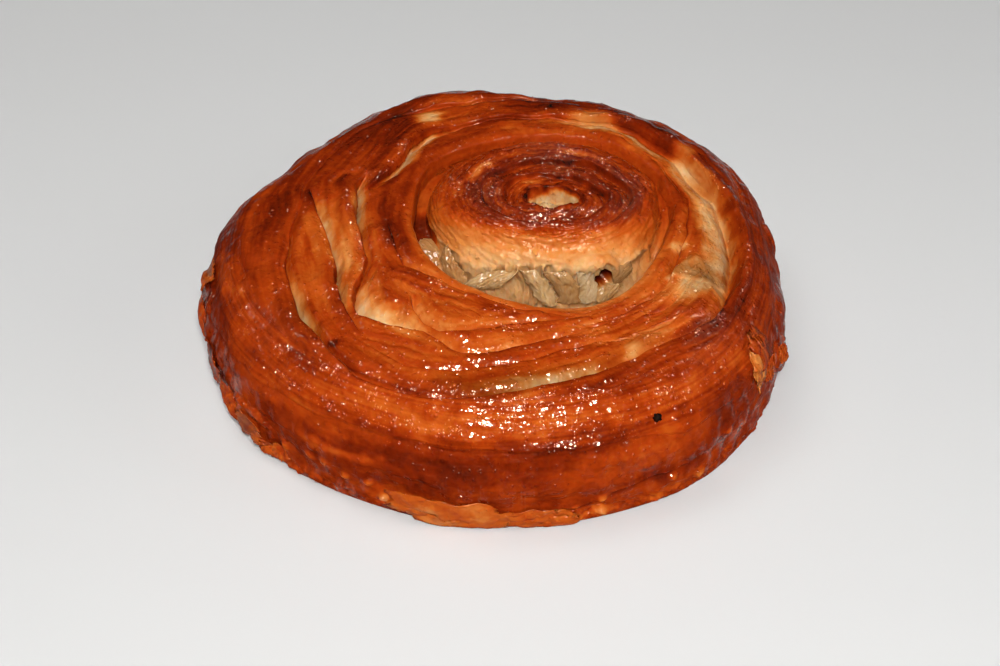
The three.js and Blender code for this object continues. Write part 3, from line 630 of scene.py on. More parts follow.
# how far each place is baked, from 0 for cream dough to 1 for burnt sugar. Strokes of bake are laid along the
# strip, later ones over earlier ones: angle, place, place's change in mm a degree, half span in degrees, half
# width in mm, bake, share
baked = {
    "ground": 0.64,
    "bands": [      # the wide strokes first
        (15, 27, 0, 30, 4, 0.74, 0.8), (50, 26, 0, 16, 3.0, 0.66, 0.8), (96, 25.5, 0, 18, 3.5, 0.68, 0.8),
        (122, 27, 0.05, 16, 4, 0.78, 0.8), (40, 35.0, 0.0, 34, 3.2, 0.86, 0.9),
        (95, 34, 0.0, 14, 3.2, 0.84, 0.8), (148, 44, 0.1, 22, 9, 0.86, 0.85),
        (178, 34.5, 0, 18, 4.5, 0.80, 0.85), (198, 35, 0, 9, 4.5, 0.80, 0.8),
        (160, 29.0, 0, 20, 2.6, 0.80, 0.7), (183, 57, 0.2, 20, 6, 0.84, 0.85),
        (172, 50, 0.2, 14, 5, 0.82, 0.8), (192, 67, 0.2, 12, 5, 0.88, 0.85), (226, 69, 0, 18, 4, 0.70, 0.5),
        (210, 57, 0.1, 14, 4, 0.62, 0.6), (244, 40, 0.1, 14, 4.5, 0.50, 0.6),
        (228, 40.5, 0.2, 12, 4, 0.56, 0.6), (272, 41.0, -0.1, 20, 3.4, 0.54, 0.7),
        (292, 42, -0.1, 16, 4.0, 0.52, 0.7), (312, 34.5, -0.1, 12, 4.0, 0.48, 0.7),
        (335, 29.0, -0.02, 16, 4, 0.54, 0.8), (332, 49, -0.25, 12, 3.5, 0.86, 0.8),
        (352, 42, -0.25, 14, 3.0, 0.80, 0.7), (14, 39, -0.05, 14, 3.5, 0.84, 0.7),
        (316, 49.6, -0.17, 16, 2.6, 0.84, 0.85), (278, 57.6, -0.17, 18, 2.4, 0.74, 0.85),
        (300, 54, -0.18, 18, 1.8, 0.56, 0.85), (262, 36.5, 0.1, 20, 1.6, 0.68, 0.6),
        (240, 57.5, 0, 12, 3.2, 0.56, 0.6), (222, 60, 0.1, 14, 3.0, 0.66, 0.6),
        (212, 33.5, 0, 14, 1.6, 0.76, 0.5), (190, 45.5, 0, 14, 2.0, 0.54, 0.7),
        (196, 38.5, 0, 12, 2.0, 0.48, 0.7), (200, 53, 0.3, 14, 2.5, 0.46, 0.8),
        (81, 33, 0, 6, 2.6, 0.52, 0.8), (118, 37, 0, 7, 3.2, 0.60, 0.8), (150, 33.6, 0, 14, 1.4, 0.70, 0.6),
        (66, 28.4, -0.03, 20, 1.8, 0.14, 0.95), (150, 35.5, 0, 12, 1.6, 0.56, 0.7),
        (184, 40.8, 0, 9, 1.6, 0.22, 0.9), (222, 34, 0, 8, 1.6, 0.46, 0.7),
        (228, 50.5, 0, 10, 2.4, 0.30, 0.7), (276, 51.5, -0.3, 8, 2.0, 0.44, 0.7),
        (92, 33.5, 0, 14, 3.0, 0.94, 0.8), (133, 38.6, 0, 5.5, 2.8, 0.14, 1.0),
        (120, 44.5, 0, 2.5, 2.0, 0.20, 0.9), (145, 33.8, 0.1, 8, 1.0, 0.40, 0.7),
        (262, 55.6, -0.3, 8, 1.4, 0.34, 0.7), (290, 46.4, -0.12, 12, 2.6, 0.40, 0.8),
        (287.2, 48.2, -0.2, 3.4, 1.7, 0.12, 1.0), (303, 46.5, -0.25, 3, 0.7, 0.34, 0.6),
        (331, 29.2, 0, 3.6, 1.5, 0.20, 1.0), (12, 26.8, 0, 16, 2.4, 0.90, 0.6),
        (44, 36.4, 0, 18, 2.2, 0.90, 0.7), (82, 34.6, 0, 14, 2.0, 0.90, 0.7),
        (108, 38.5, 0, 8, 2.5, 0.88, 0.7), (201, 35.5, 0, 9, 3.4, 0.84, 0.7),
        (216, 51, 0, 8, 2.2, 0.42, 0.6), (184, 68, 0.3, 10, 3.5, 0.92, 0.7),
        (288, 53.5, -0.2, 12, 2.4, 0.80, 0.6), (0, 45.5, -0.2, 24, 3.0, 0.95, 0.8),
        # the stroke at 223.5 degrees paints the dark inside of the left slit's end as shade
        (236, 68.5, 0, 12, 2.4, 0.54, 0.6), (223.5, 62.9, -0.9, 2.6, 0.5, 0.98, 1),
        (10, 43, -0.15, 26, 4.0, 0.90, 0.7), (120, 45.5, 0.1, 12, 2.6, 0.90, 0.6),
        (62, 35.5, 0, 12, 2.0, 0.88, 0.6), (203, 45.4, 0.15, 12, 1.8, 0.36, 0.8),
        (196, 52.6, 0.25, 10, 2.0, 0.42, 0.6), (345, 33.4, -0.16, 10, 1.2, 0.40, 0.6),
        (318, 38.6, -0.10, 11, 2.8, 0.15, 1.0), (345, 36.0, -0.16, 13, 2.4, 0.16, 1.0),
        (3, 34.0, -0.14, 12, 2.0, 0.14, 1.0), (24, 31.2, -0.08, 12, 1.8, 0.12, 1.0),
        (338, 40.8, -0.2, 9, 0.5, 0.36, 0.6), (16, 33.4, -0.1, 7, 2.0, 0.34, 0.8),
        (30, 33.4, -0.05, 5, 1.8, 0.26, 0.6), (205, 47.2, 0.1, 6, 2.0, 0.34, 0.7),
        (352.5, 36.5, -0.2, 7, 2.0, 0.26, 0.7), (110, 26.5, 0, 20, 1.6, 0.5, 0.4),
        (192, 64.8, 0, 9, 2.4, 0.74, 0.6), (103, 29.3, 0, 12, 1.8, 0.88, 0.8),
        (90, 29.6, 0, 8, 1.4, 0.50, 0.6), (198.5, 53.6, 0.3, 8, 1.6, 0.64, 0.7),
        (196, 48.4, 0.1, 9, 1.4, 0.26, 0.7), (268, 55.2, -0.3, 6, 1.5, 0.16, 0.9),
        (312, 51.6, -0.2, 14, 2.6, 0.88, 0.7), (195, 71, 0.2, 7, 1.6, 0.62, 0.7),
        (201.5, 34.6, 0, 9, 2.4, 0.95, 0.9), (137.5, 44.9, 0, 12, 2.2, 0.94, 0.7),
        (255.5, 44.5, 0, 9, 1.8, 0.46, 0.8), (240, 43.8, 0, 7, 1.6, 0.44, 0.7),
        (248, 62.6, 0, 9, 2.2, 0.74, 0.8), (304, 47.5, -0.2, 10, 1.8, 0.76, 0.7),
        (84.5, 22.4, 0, 9, 1.5, 0.42, 0.7), (68.5, 29.8, 0, 10, 1.6, 0.26, 0.8)],
    # the same round the shoulder and the side, where the place is the height
    "side": [
        (255, 25.6, 0, 38, 3.4, 0.52, 0.85), (302, 25.2, 0, 20, 3.2, 0.62, 0.75),
        (288, 29.4, 0, 22, 1.2, 0.76, 0.7), (210, 25, 0, 10, 5, 0.68, 0.6), (192, 23, 0, 10, 7, 0.88, 0.85),
        (195, 25.6, 0, 6, 1.8, 0.62, 0.8), (200, 27.6, 0, 7, 1.6, 0.48, 0.7),
        (246, 16.6, 0, 24, 3.2, 0.88, 0.95), (252, 14.5, 0, 12, 3.0, 0.88, 0.8),
        (278, 21.6, 0, 14, 1.8, 0.86, 0.9), (303, 17, 0, 8, 5.0, 0.86, 0.85),
        (279, 15.5, 0.1, 9, 4.0, 0.60, 0.9), (291, 17.5, 0.1, 7, 4.6, 0.60, 0.9),
        (262, 10, 0, 8, 5, 0.70, 0.8), (236, 3.0, 0, 9, 3.4, 0.86, 0.95), (288, 9.5, 0, 10, 2.0, 0.80, 0.8),
        (231, 11, 0, 12, 6, 0.80, 0.8), (214, 10, 0, 8, 8, 0.80, 0.8),
        (248, 5.4, -0.08, 12, 3.0, 0.54, 0.95), (226, 5, 0, 8, 3.0, 0.72, 0.8),
        (272, 2.6, 0.2, 17, 1.8, 0.62, 0.85), (300, 6.5, 0.4, 14, 3.4, 0.75, 0.8),
        (285, 6.0, 0, 6, 1.4, 0.60, 0.8), (226, 20, 0, 16, 2.8, 0.60, 0.7),
        (229, 13.5, 0, 4, 1.6, 0.46, 0.7), (213, 12, 0, 5, 6, 0.62, 0.7),
        (294, 5.4, 0.3, 14, 1.6, 0.62, 0.7), (322, 12, 0, 12, 9, 0.72, 0.85),
        (198, 14, 0, 10, 9, 0.86, 0.8), (235, 14.5, 0, 5, 1.0, 0.50, 0.7), (150, 14, 0, 40, 14, 0.76, 0.8),
        (80, 16, 0, 44, 14, 0.74, 0.8), (5, 14, 0, 38, 14, 0.76, 0.8)],
    # how much the colour is dimmed inside the slits: partly the greyer tone of wet dough, partly painted shade in
    # the slits
    "shadeAndWet": [
        (330, 38.0, -0.2, 10, 3.2, 0.35, 1), (12, 32.5, -0.1, 10, 2.5, 0.40, 1),
        (336, 40.0, -0.232, 9, 1.8, 0.70, 1), (8, 34.6, -0.14, 22, 3.4, 0.35, 1),
        (272, 53.4, -0.3, 14, 2.6, 0.70, 1), (263, 54.8, -0.3, 9, 2.6, 0.80, 1),
        (352.5, 36.6, -0.2, 9, 2.4, 0.35, 1), (66, 29.0, 0, 14, 2.4, 0.4, 1),
        (256, 58.2, -0.2, 8, 2.2, 0.9, 1), (216, 61.6, 0.3, 7, 2.6, 0.5, 1),
        (186, 40.4, 0, 12, 2.0, 0.25, 1), (318, 39.4, -0.2, 9, 3.0, 0.55, 1), (292, 46.0, 0, 6, 2.4, 0.4, 1)],
    # and on the heart, where angle and place are the heart's own
    "heart": [
        (172, 14.5, 0, 52, 4.2, 0.92, 0.95), (250, 13.2, 0, 44, 3.0, 0.90, 0.9),
        (330, 12.6, 0, 44, 4.2, 0.87, 0.9), (60, 13.5, 0, 58, 4.5, 0.86, 0.9),
        (170, 19.4, 0, 46, 1.7, 0.76, 0.8), (92, 19.2, 0, 46, 1.8, 0.70, 0.8),
        (8, 17.6, 0, 40, 3.2, 0.80, 0.9), (205, 8.0, 0, 60, 2.6, 0.82, 0.8),
        (18, 8.6, 0, 34, 2.6, 0.70, 0.9), (110, 7.2, 0, 24, 2.6, 0.56, 0.9),
        (290, 7.4, 0, 40, 2.0, 0.80, 0.8), (145, 17.5, 0, 8, 1.4, 0.34, 0.9),
        (40, 10.5, 0, 40, 3.6, 0.90, 0.8), (350, 16.5, 0, 26, 2.6, 0.86, 0.6)],
}


# each stroke is a spot on the skin whose share moves the field towards the stroke's own value
def brush(field, angle, place, table, mask=1.0):
    for at, centre, slope, span, wide, value, share in table:
        turnBy = turnBetween(at, angle)
        touch = spot(turnBy / span, (place - centre - slope * turnBy) / wide)
        field = field + (value - field) * share * mask * touch
    return field


# how much the ground's patterns change the bake; the heart's, the wall's and the hollow's own bake. The seam, under,
# heartSeam, hole and corner tones are painted shade
tones = {"broad": 0.075, "middle": 0.06, "fine": 0.035, "crest": 0.05, "pale": 0.13, "paleRim": 0.22,
         "stain": [(0.10, 4.2, 27.0), (0.04, 1.5, 28.0)], "seam": 0.09, "sheet": 0.28, "side": 0.78,
         "under": 0.26, "blisters": 0.30, "foot": 0.06, "footSpots": (0.09, 1.6, 37.0), "crumbs": 0.20,
         "heart": 0.74, "heartMost": 0.86, "heartSeam": 0.16, "cream": 0.10, "wall": 0.115, "wallTop": 0.30,
         "closedWall": 0.66, "hollow": 0.11, "folds": 0.12, "hole": 1.2, "corner": 0.42, "most": 0.96}
uneven = ripples(x, y, height, [(0.9, 11, 12.0), (0.5, 4.5, 13.0)])
angleAt = degrees[:, None] + 1.5 * uneven
bandBake = brush(np.full_like(x, baked["ground"]), angleAt, reach + 0.6 * uneven, baked["bands"])
bandBake += tones["broad"] * broad + tones["middle"] * middle + tones["fine"] * fine + tones["crest"] * crest
bandBake += 0.12 * np.clip(fine - 1.2, 0, 1)
bandBake += frontBand * (0.08 * middle + 0.07 * fine) + ringBand * (0.04 * middle + 0.05 * fine)
stain = ripples(x, y, height, tones["stain"]) - 0.03 * creped
paleBake = tones["pale"] + tones["paleRim"] * ease(0.85, 0.15, pale) + 0.03 * middle + stain
# painted shade: a darker line in the crevice at the foot of each edge's wall
bandBake = mixed(bandBake, paleBake, pale) + tones["seam"] * bandSeam
bandBake += (tones["sheet"] - 0.03 * puckers + 0.5 * stain - bandBake) * 0.85 * sheet
sideBake = brush(np.full_like(x, tones["side"]), angleAt, height + 0.8 * uneven, baked["side"])
sideBake += 0.035 * ripple3(x, y, height * 0.7, 8.0, 18.0) + 0.025 * ripple3(x, y, height, 3.0, 19.0)
sideBake += 0.02 * drips - foot * (tones["foot"] + ripples(x, y, height, [tones["footSpots"]]))
sideBake += (0.03 * middle + 0.06 * fine) * ease(19, 22, height)
# painted shade under the creases; the blisters are paler dough
sideBake += tones["under"] * under - tones["blisters"] * blistered
crumbs = ease(-0.6, 0.8, ripple3(x, y, height, 2.6, 38.0)) * ease(2.6, 1.2, height)
# painted shade: the lowest 2 mm of the side darkened as contact shade; the crumbs there are paler dough
sideBake += 0.10 * ease(1.8, 0.6, height) - tones["crumbs"] * crumbs
bandBake = mixed(bandBake, sideBake, ease(17.9, 19.3, t))
topBake = brush(np.full_like(x, tones["heart"]), heartAway + 6 * uneven, heartNear + 0.6 * uneven, baked["heart"])
topBake += 0.08 * heartFine - 0.05 * heartFolds + ripples(x, y, height, [(0.04, 2.4, 14.0)])
topBake += 0.06 * heartCrest - 0.16 * heartPale
# painted shade: darker lines in the crevices at the foot of the heart's step walls and round the cup's rim
topBake = np.minimum(topBake, tones["heartMost"]) + tones["heartSeam"] * heartSeam * (1 - heartCup)
cream = ease(0.0, 0.55, heartCup)
creamBake = 0.06 * ripple(x, y, 2.0, 5.0) + 0.03 * ripple(x, y, 0.9, 5.6) + tones["cream"]
topBake = mixed(topBake, creamBake, cream)
wallBake = tones["wall"] + tones["wallTop"] * ease(26.4, 32.0, height + 0.5 * uneven)
wallBake += 0.03 * ripple3(4 * heartX, 4 * heartY, height, 1.6, 15.0)
wallBake = mixed(tones["closedWall"], wallBake, opened)
topShare = 1 - ease(3.3, 4.5 + 0.6 * (1 - opened), t + 0.12 * uneven * opened)
bake = mixed(mixed(wallBake, topBake, topShare), bandBake, bandFade)
hollowBake = tones["hollow"] + tones["folds"] * ease(0.2, -0.9, folds) + 0.03 * uneven + 0.015 * crepe
# painted shade: the corner of the hollow on its left, under the heart's lip, is darkened and dimmed as shade
corner = np.exp(-(turnFrom(186) / 8) ** 4) * ease(20.5, 21.5, height) * ease(26.5, 24.8, height)
corner *= (t > 5.5) * (t < 14.5)
bake = mixed(bake, hollowBake, inHollow)
# painted shade: the inside of the hole is darkened as shade, and the hollow's left corner too
bake = padded(np.clip(bake + tones["hole"] * hole + tones["corner"] * corner, 0.0, tones["most"]))
# the colour is dimmed here: partly wet dough's greyer tone in the slits and the clear sheet, partly painted shade in
# the eye's cup, the hollow, among the crumbs at the foot, in the hole and in the corner
shadeAndWet = brush(np.zeros_like(x), angleAt, reach, baked["shadeAndWet"], bandFade * (1 - side)) + 0.55 * sheet
shadeAndWet += 0.45 * cream * heartFade + 0.40 * inHollow + 0.45 * crumbs * side + 1.5 * hole + 0.3 * corner
shadeAndWet = padded(np.clip(shadeAndWet, 0, 1))

# how glossy each place is: more on dark crust, less on what stands upright. Duller places on the bands are
# given by angle, place, half span, half width and how much, and wet streaks down the side by angle, height,
# half span, half height and how glossy
gloss = {"base": 0.05, "byBake": 1.25, "least": 0.08, "most": 0.85, "heartFront": 0.6, "upright": 0.02,
         "backUpright": 0.12, "frontBand": 0.35,
         "dulled": [(313, 51.6, 15, 5, 0.6), (168, 55, 15, 7, 0.6), (356, 44, 18, 5, 0.6)],
         "streaks": [(262, 10, 46, 9, 0.35), (305, 12, 9, 8, 2.0), (209, 10, 10, 7, 3.6), (334, 12, 13, 8, 2.4),
                     (238, 3.5, 11, 4, 3.0), (196, 13, 8, 8, 2.6), (286, 14, 6, 4, 0.9)]}
xg, yg, zg = (grid[..., k] for k in range(3))
facing = normals[..., 2]
glaze = gloss["base"] + gloss["byBake"] * bake + 0.15 * ripple3(xg, yg, zg, 13, 16.0)
glaze = np.clip(glaze, gloss["least"], gloss["most"])
glaze *= 1 - gloss["heartFront"] * padded(heartFront)
glazeLow = gloss["upright"] + gloss["backUpright"] * ease(26, 21, zg) * np.exp(-(turnFrom(60) / 112) ** 8)
atFront = np.exp(-(turnFrom(266) / 46) ** 6)
glaze *= glazeLow + (1 - glazeLow) * mixed(ease(0.62, 0.92, facing), ease(0.32, 0.72, facing), atFront)
for at, centre, span, wide, share in gloss["dulled"]:
    glaze *= 1 - share * padded(spot(turnFrom(at) / span, (reach - centre) / wide) * bandFade)
streaks = ripple3(1.6 * x, 1.6 * y, height * 0.4, 3.6, 41.0) + 0.35 * ripple3(x, y, height, 1.6, 42.0)
wetSide = np.zeros_like(x)
for at, level, span, tall, most in gloss["streaks"]:
    wetSide = np.maximum(wetSide, most * spot(turnFrom(at) / span, (height - level) / tall))
glaze = np.maximum(glaze, padded(wetSide * ease(-0.2, 0.9, streaks) * side))
glaze *= 1 - padded(np.maximum(hole, gloss["frontBand"] * frontBand))
across = padded(alongLines(lambda run, spots, k: run) * (1 - 0.7 * onSide))
print("skin:", grid.shape[0], "angles by", grid.shape[1], "rows")


# the four-sided faces of a grid of n by m points, row by row, the last joined to the first if it closes round
def gridFaces(n, m, closed):
    i, j = np.meshgrid(np.arange(n if closed else n - 1), np.arange(m - 1), indexing="ij")
    nextI = (i + 1) % n
    return np.stack([i * m + j, i * m + j + 1, nextI * m + j + 1, nextI * m + j], -1).reshape(-1, 4)


# a piece from its mesh and its values at the points; it rides on the cake's one body
def addPiece(name, mesh, values):
    mesh.polygons.foreach_set("use_smooth", np.ones(len(mesh.polygons), bool))
    for key, field in values.items():
        layer = mesh.attributes.new(key, "FLOAT", "POINT")
        layer.data.foreach_set("value", np.asarray(field, np.float32).reshape(-1))
    piece = bpy.data.objects.new(name, mesh)
    bpy.context.collection.objects.link(piece)
    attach(piece, "root")
    print("piece:", name, len(mesh.polygons), "faces")
    return piece


# a piece from points in millimetres, faces and values at the points
def meshPiece(name, points, faces, values):
    mesh = bpy.data.meshes.new(name)
    mesh.from_pydata((points * mm).tolist(), [], faces)
    return addPiece(name, mesh, values)


# a grid that closes on itself round its middle; its first and last columns may be poles, each closed with one
# point and a fan
def roundPiece(name, points, fields, shading=None, poleStart=False, poleEnd=False):
    n, m = points.shape[:2]
    inner = slice(1 if poleStart else 0, m - 1 if poleEnd else m)
    body = points[:, inner]
    k = body.shape[1]
    verts, vertNormals = [body.reshape(-1, 3)], []
    if shading is not None:
        vertNormals = [shading[:, inner].reshape(-1, 3)]
    values = {key: [field[:, inner].reshape(-1)] for key, field in fields.items()}
    quads = gridFaces(n, k, True)
    corners, counts = [quads.ravel()], [np.full(len(quads), 4)]
    total, ring = n * k, np.arange(n)
    for wanted, column, at, up in ((poleStart, 0, 0, 1.0), (poleEnd, m - 1, k - 1, -1.0)):
        if not wanted:
            continue
        verts.append(points[:1, column])
        vertNormals.append([[0, 0, up]])
        for key, field in fields.items():
            values[key].append(field[:1, column])
        one, other = ring * k + at, (ring + 1) % n * k + at
        one, other = (one, other) if up > 0 else (other, one)
        corners.append(np.stack([np.full(n, total), one, other], -1).ravel())
        counts.append(np.full(n, 3))
        total += 1
    verts, corners, counts = (np.concatenate(parts) for parts in (verts, corners, counts))
    mesh = bpy.data.meshes.new(name)
    mesh.vertices.add(len(verts))
    mesh.vertices.foreach_set("co", (verts * mm).astype(np.float32).ravel())
    mesh.loops.add(len(corners))
    mesh.loops.foreach_set("vertex_index", corners.astype(np.int32))
    mesh.polygons.add(len(counts))
    mesh.polygons.foreach_set("loop_start", (np.cumsum(counts) - counts).astype(np.int32))
    mesh.update(calc_edges=True)
    mesh.validate()
    piece = addPiece(name, mesh, {key: np.concatenate(parts) for key, parts in values.items()})
    if shading is not None:
        mesh.normals_split_custom_set_from_vertices(np.concatenate(vertNormals))
    return piece


# a thin closed skin: two copies of a grid of points, apart by a thickness that thins to nothing at the rim
def thinSkin(points, thick):
    n, m = points.shape[:2]
    normal = unit(np.cross(np.gradient(points, axis=0), np.gradient(points, axis=1)))
    u, v = np.linspace(0, 1, n)[:, None], np.linspace(0, 1, m)[None]
    body = np.clip(np.minimum(np.minimum(u, 1 - u) * n, np.minimum(v, 1 - v) * m) / 2, 0, 1)[..., None]
    both = np.stack([points + normal * body * thick / 2, points - normal * body * thick / 2])
    quads = gridFaces(n, m, False)[:, [0, 3, 2, 1]]
    atRim = (body[..., 0] == 0).ravel()
    below = np.where(atRim, np.arange(n * m), np.arange(n * m) + n * m)      # the rim's points are shared
    faces = np.concatenate([quads, below[quads[:, ::-1]]])
    used = np.unique(faces)
    number = np.zeros(2 * n * m, int)
    number[used] = np.arange(len(used))
    return both.reshape(-1, 3)[used], number[faces], used % (n * m)


# an empty node group with these inputs and outputs
def newGroup(name, inputs, outputs):
    group = bpy.data.node_groups.new(name, "ShaderNodeTree")
    for label, kind, value in inputs:
        socket = group.interface.new_socket(name=label, in_out="INPUT", socket_type=kind)
        if value is not None:
            socket.default_value = value
    for label, kind in outputs:
        group.interface.new_socket(name=label, in_out="OUTPUT", socket_type=kind)
    return group, group.nodes.new("NodeGroupInput"), group.nodes.new("NodeGroupOutput")


# a node with its settings, what is linked into it and the values on its sockets
def addNode(tree, kind, settings=None, links=None, values=None):
    node = tree.nodes.new(kind)
    for key, value in (settings or {}).items():
        setattr(node, key, value)
    for key, value in (values or {}).items():
        node.inputs[key].default_value = value
    for key, source in (links or {}).items():
        tree.links.new(source, node.inputs[key])
    return node


def mathNode(tree, operation, a, b, clamp=False):
    node = addNode(tree, "ShaderNodeMath", {"operation": operation, "use_clamp": clamp})
    for k, part in enumerate((a, b)):
        if isinstance(part, (int, float)):
            node.inputs[k].default_value = part
        else:
            tree.links.new(part, node.inputs[k])
    return node.outputs[0]


# several values added up
def addedUp(tree, values, clamp=False):
    total = values[0]
    for k, value in enumerate(values[1:], 2):
        total = mathNode(tree, "ADD", total, value, clamp=clamp and k == len(values))
    return total


# how far a pattern from 0 to 1 lies from its middle, times an amount
def shifted(tree, value, amount):
    return mathNode(tree, "MULTIPLY", mathNode(tree, "SUBTRACT", value, 0.5), amount)


# one range of values turned into another
def rangeNode(tree, value, old, new, blend="LINEAR"):
    return addNode(tree, "ShaderNodeMapRange", {"interpolation_type": blend}, {"Value": value},
                   {"From Min": old[0], "From Max": old[1], "To Min": new[0], "To Max": new[1]}).outputs[0]


def noise(tree, place, scale, detail, rough, swirl=0.0):
    return addNode(tree, "ShaderNodeTexNoise", links={"Vector": place}, values={
        "Scale": scale, "Detail": detail, "Roughness": rough, "Distortion": swirl}).outputs["Fac"]


# thin layers seen edge on: noise that is long along the strip and short across it
def makeLayerLines():
    group, gin, gout = newGroup("layerLines",
                                [("Position", "NodeSocketVector", None), ("Across", "NodeSocketFloat", 0.0),
                                 ("Spacing", "NodeSocketFloat", 1.0)],
                                [("Lines", "NodeSocketFloat"), ("Fine", "NodeSocketFloat")])
    scaled = addNode(group, "ShaderNodeVectorMath", {"operation": "SCALE"}, {0: gin.outputs["Position"]},
                     {"Scale": 55.0})
    split = addNode(group, "ShaderNodeSeparateXYZ", links={0: scaled.outputs[0]}).outputs
    layer = mathNode(group, "DIVIDE", gin.outputs["Across"], gin.outputs["Spacing"])
    drawn = addNode(group, "ShaderNodeCombineXYZ", links={0: split[0], 1: split[1], 2: layer}).outputs[0]
    group.links.new(noise(group, drawn, 1.0, 2.0, 0.55, 0.25), gout.inputs["Lines"])
    group.links.new(noise(group, drawn, 3.1, 3.0, 0.6, 0.1), gout.inputs["Fine"])
    return group


# caramel that lies in pools and beads: a blotchy mask, a soft swell, a fine speck and small round beads, which
# are domes round scattered points where the speck is high
def makeCaramelMottle():
    group, gin, gout = newGroup("caramelMottle",
                                [("Position", "NodeSocketVector", None), ("Size", "NodeSocketFloat", 1.0)],
                                [(label, "NodeSocketFloat") for label in ("Blotch", "Swell", "Speck", "Bead")])
    place = addNode(group, "ShaderNodeVectorMath", {"operation": "SCALE"},
                    {0: gin.outputs["Position"], "Scale": gin.outputs["Size"]}).outputs[0]
    speck = noise(group, place, 820.0, 1.0, 0.5)
    bead = addNode(group, "ShaderNodeTexVoronoi", {"feature": "F1"}, {"Vector": place},
                   {"Scale": 1000.0, "Randomness": 1.0}).outputs["Distance"]
    dome = rangeNode(group, bead, (0.0, 0.42), (1.0, 0.0), "SMOOTHSTEP")
    some = rangeNode(group, speck, (0.5, 0.62), (0.0, 1.0))
    values = (noise(group, place, 130.0, 5.0, 0.6), noise(group, place, 260.0, 1.0, 0.5), speck,
              mathNode(group, "MULTIPLY", dome, some))
    for value, socket in zip(values, gout.inputs):
        group.links.new(value, socket)
    return group


layerLines = makeLayerLines()
caramelMottle = makeCaramelMottle()

# colours from the palest dough to the darkest caramel, as (place, linear colour)
bakeRamp = [(0.00, (0.66, 0.44, 0.23)), (0.14, (0.64, 0.33, 0.125)), (0.30, (0.60, 0.205, 0.044)),
            (0.48, (0.47, 0.086, 0.0080)), (0.64, (0.330, 0.0360, 0.0028)), (0.80, (0.185, 0.0150, 0.0015)),
            (0.94, (0.085, 0.0066, 0.0012)), (1.00, (0.010, 0.005, 0.003))]


# the colour at this value, straight between the stops
def rampNode(tree, value, stops):
    ramp = tree.nodes.new("ShaderNodeValToRGB")
    ramp.color_ramp.interpolation = "LINEAR"
    while len(ramp.color_ramp.elements) < len(stops):
        ramp.color_ramp.elements.new(0.5)
    for element, (place, colour) in zip(ramp.color_ramp.elements, stops):
        element.position = place
        element.color = (*colour, 1.0)
    tree.links.new(value, ramp.inputs["Fac"])
    return ramp.outputs["Color"]


# a new material's tree, its object coordinates and what it reads from the points and the mottle
def startMaterial(name, reads, size):
    material = bpy.data.materials.new(name)
    material.use_nodes = True
    tree = material.node_tree
    tree.nodes.clear()
    place = tree.nodes.new("ShaderNodeTexCoord").outputs["Object"]
    values = [addNode(tree, "ShaderNodeAttribute", {"attribute_name": key}).outputs["Fac"] for key in reads]
    mottle = addNode(tree, "ShaderNodeGroup", {"node_tree": caramelMottle}, {"Position": place}, {"Size": size})
    return material, tree, place, mottle.outputs, values


# a bump a millimetre deep from patterns, each times its own height
def bumpNode(tree, parts):
    high = addedUp(tree, [mathNode(tree, "MULTIPLY", pattern, amount) for pattern, amount in parts])
    bump = addNode(tree, "ShaderNodeBump", links={"Height": high}, values={"Strength": 1.0, "Distance": mm})
    return bump.outputs[0]


# the shader with what is linked into it and its own values
def finishMaterial(tree, links, values):
    shader = addNode(tree, "ShaderNodeBsdfPrincipled", links=links, values={"IOR": 1.5, **values})
    addNode(tree, "ShaderNodeOutputMaterial", links={"Surface": shader.outputs[0]})


# baked dough under caramel: the bake attribute sets the colour, shifted by the layers' lines and the mottle, and
# dimmed where the dough is wet and where shade is painted in
def crustMaterial(name, look):
    reads = ("bake", "across", "glaze", "shadeAndWet")
    material, tree, place, mottle, (bakeIn, acrossIn, glazeIn, shadeAndWetIn) = startMaterial(name, reads, look["size"])
    lines = addNode(tree, "ShaderNodeGroup", {"node_tree": layerLines}, {"Position": place, "Across": acrossIn},
                    {"Spacing": look["spacing"]}).outputs
    shifts = [(lines["Lines"], "lineTone"), (lines["Fine"], "fineTone"), (mottle["Speck"], "speckTone"),
              (mottle["Blotch"], "blotchTone")]
    tone = addedUp(tree, [bakeIn] + [shifted(tree, pattern, look[key]) for pattern, key in shifts], clamp=True)
    # the colour is dimmed where the dough is wet and where shade is painted in
    dimmed = mathNode(tree, "SUBTRACT", 1.0, mathNode(tree, "MULTIPLY", shadeAndWetIn, look["shadeAndWetDim"]))
    colour = addNode(tree, "ShaderNodeVectorMath", {"operation": "SCALE"},
                     {0: rampNode(tree, tone, bakeRamp), "Scale": dimmed}).outputs[0]
    rough = rangeNode(tree, glazeIn, look["glazeRange"], look["roughRange"])      # dull where there is little glaze
    bump = bumpNode(tree, [(lines["Lines"], look["lineHigh"]), (mottle["Swell"], look["swellHigh"]),
                           (mottle["Speck"], look["speckHigh"]), (mottle["Bead"], look["beadHigh"])])
    finishMaterial(tree, {"Base Color": colour, "Normal": bump, "Roughness": rough,
                          "Specular IOR Level": mathNode(tree, "MULTIPLY", glazeIn, look["shine"])},
                   {"Specular Tint": look["shineTint"], "Subsurface Weight": look["soft"],
                    "Subsurface Radius": (1.0, 0.35, 0.12), "Subsurface Scale": look["softDepth"]})
    return material


crustLook = {"spacing": 0.9, "size": 1.0, "lineTone": 0.12, "fineTone": 0.05, "blotchTone": 0.14,
             "speckTone": 0.14, "glazeRange": (0.05, 0.40), "roughRange": (0.42, 0.14), "shine": 0.17,
             "shineTint": (1.0, 0.71, 0.48, 1.0), "lineHigh": 0.07, "swellHigh": 0.45, "speckHigh": 0.26,
             "beadHigh": 0.20, "shadeAndWetDim": 0.55, "soft": 0.2, "softDepth": 0.0016}
glazedCrust = crustMaterial("glazedCrust", crustLook)
print("materials: glazed crust")

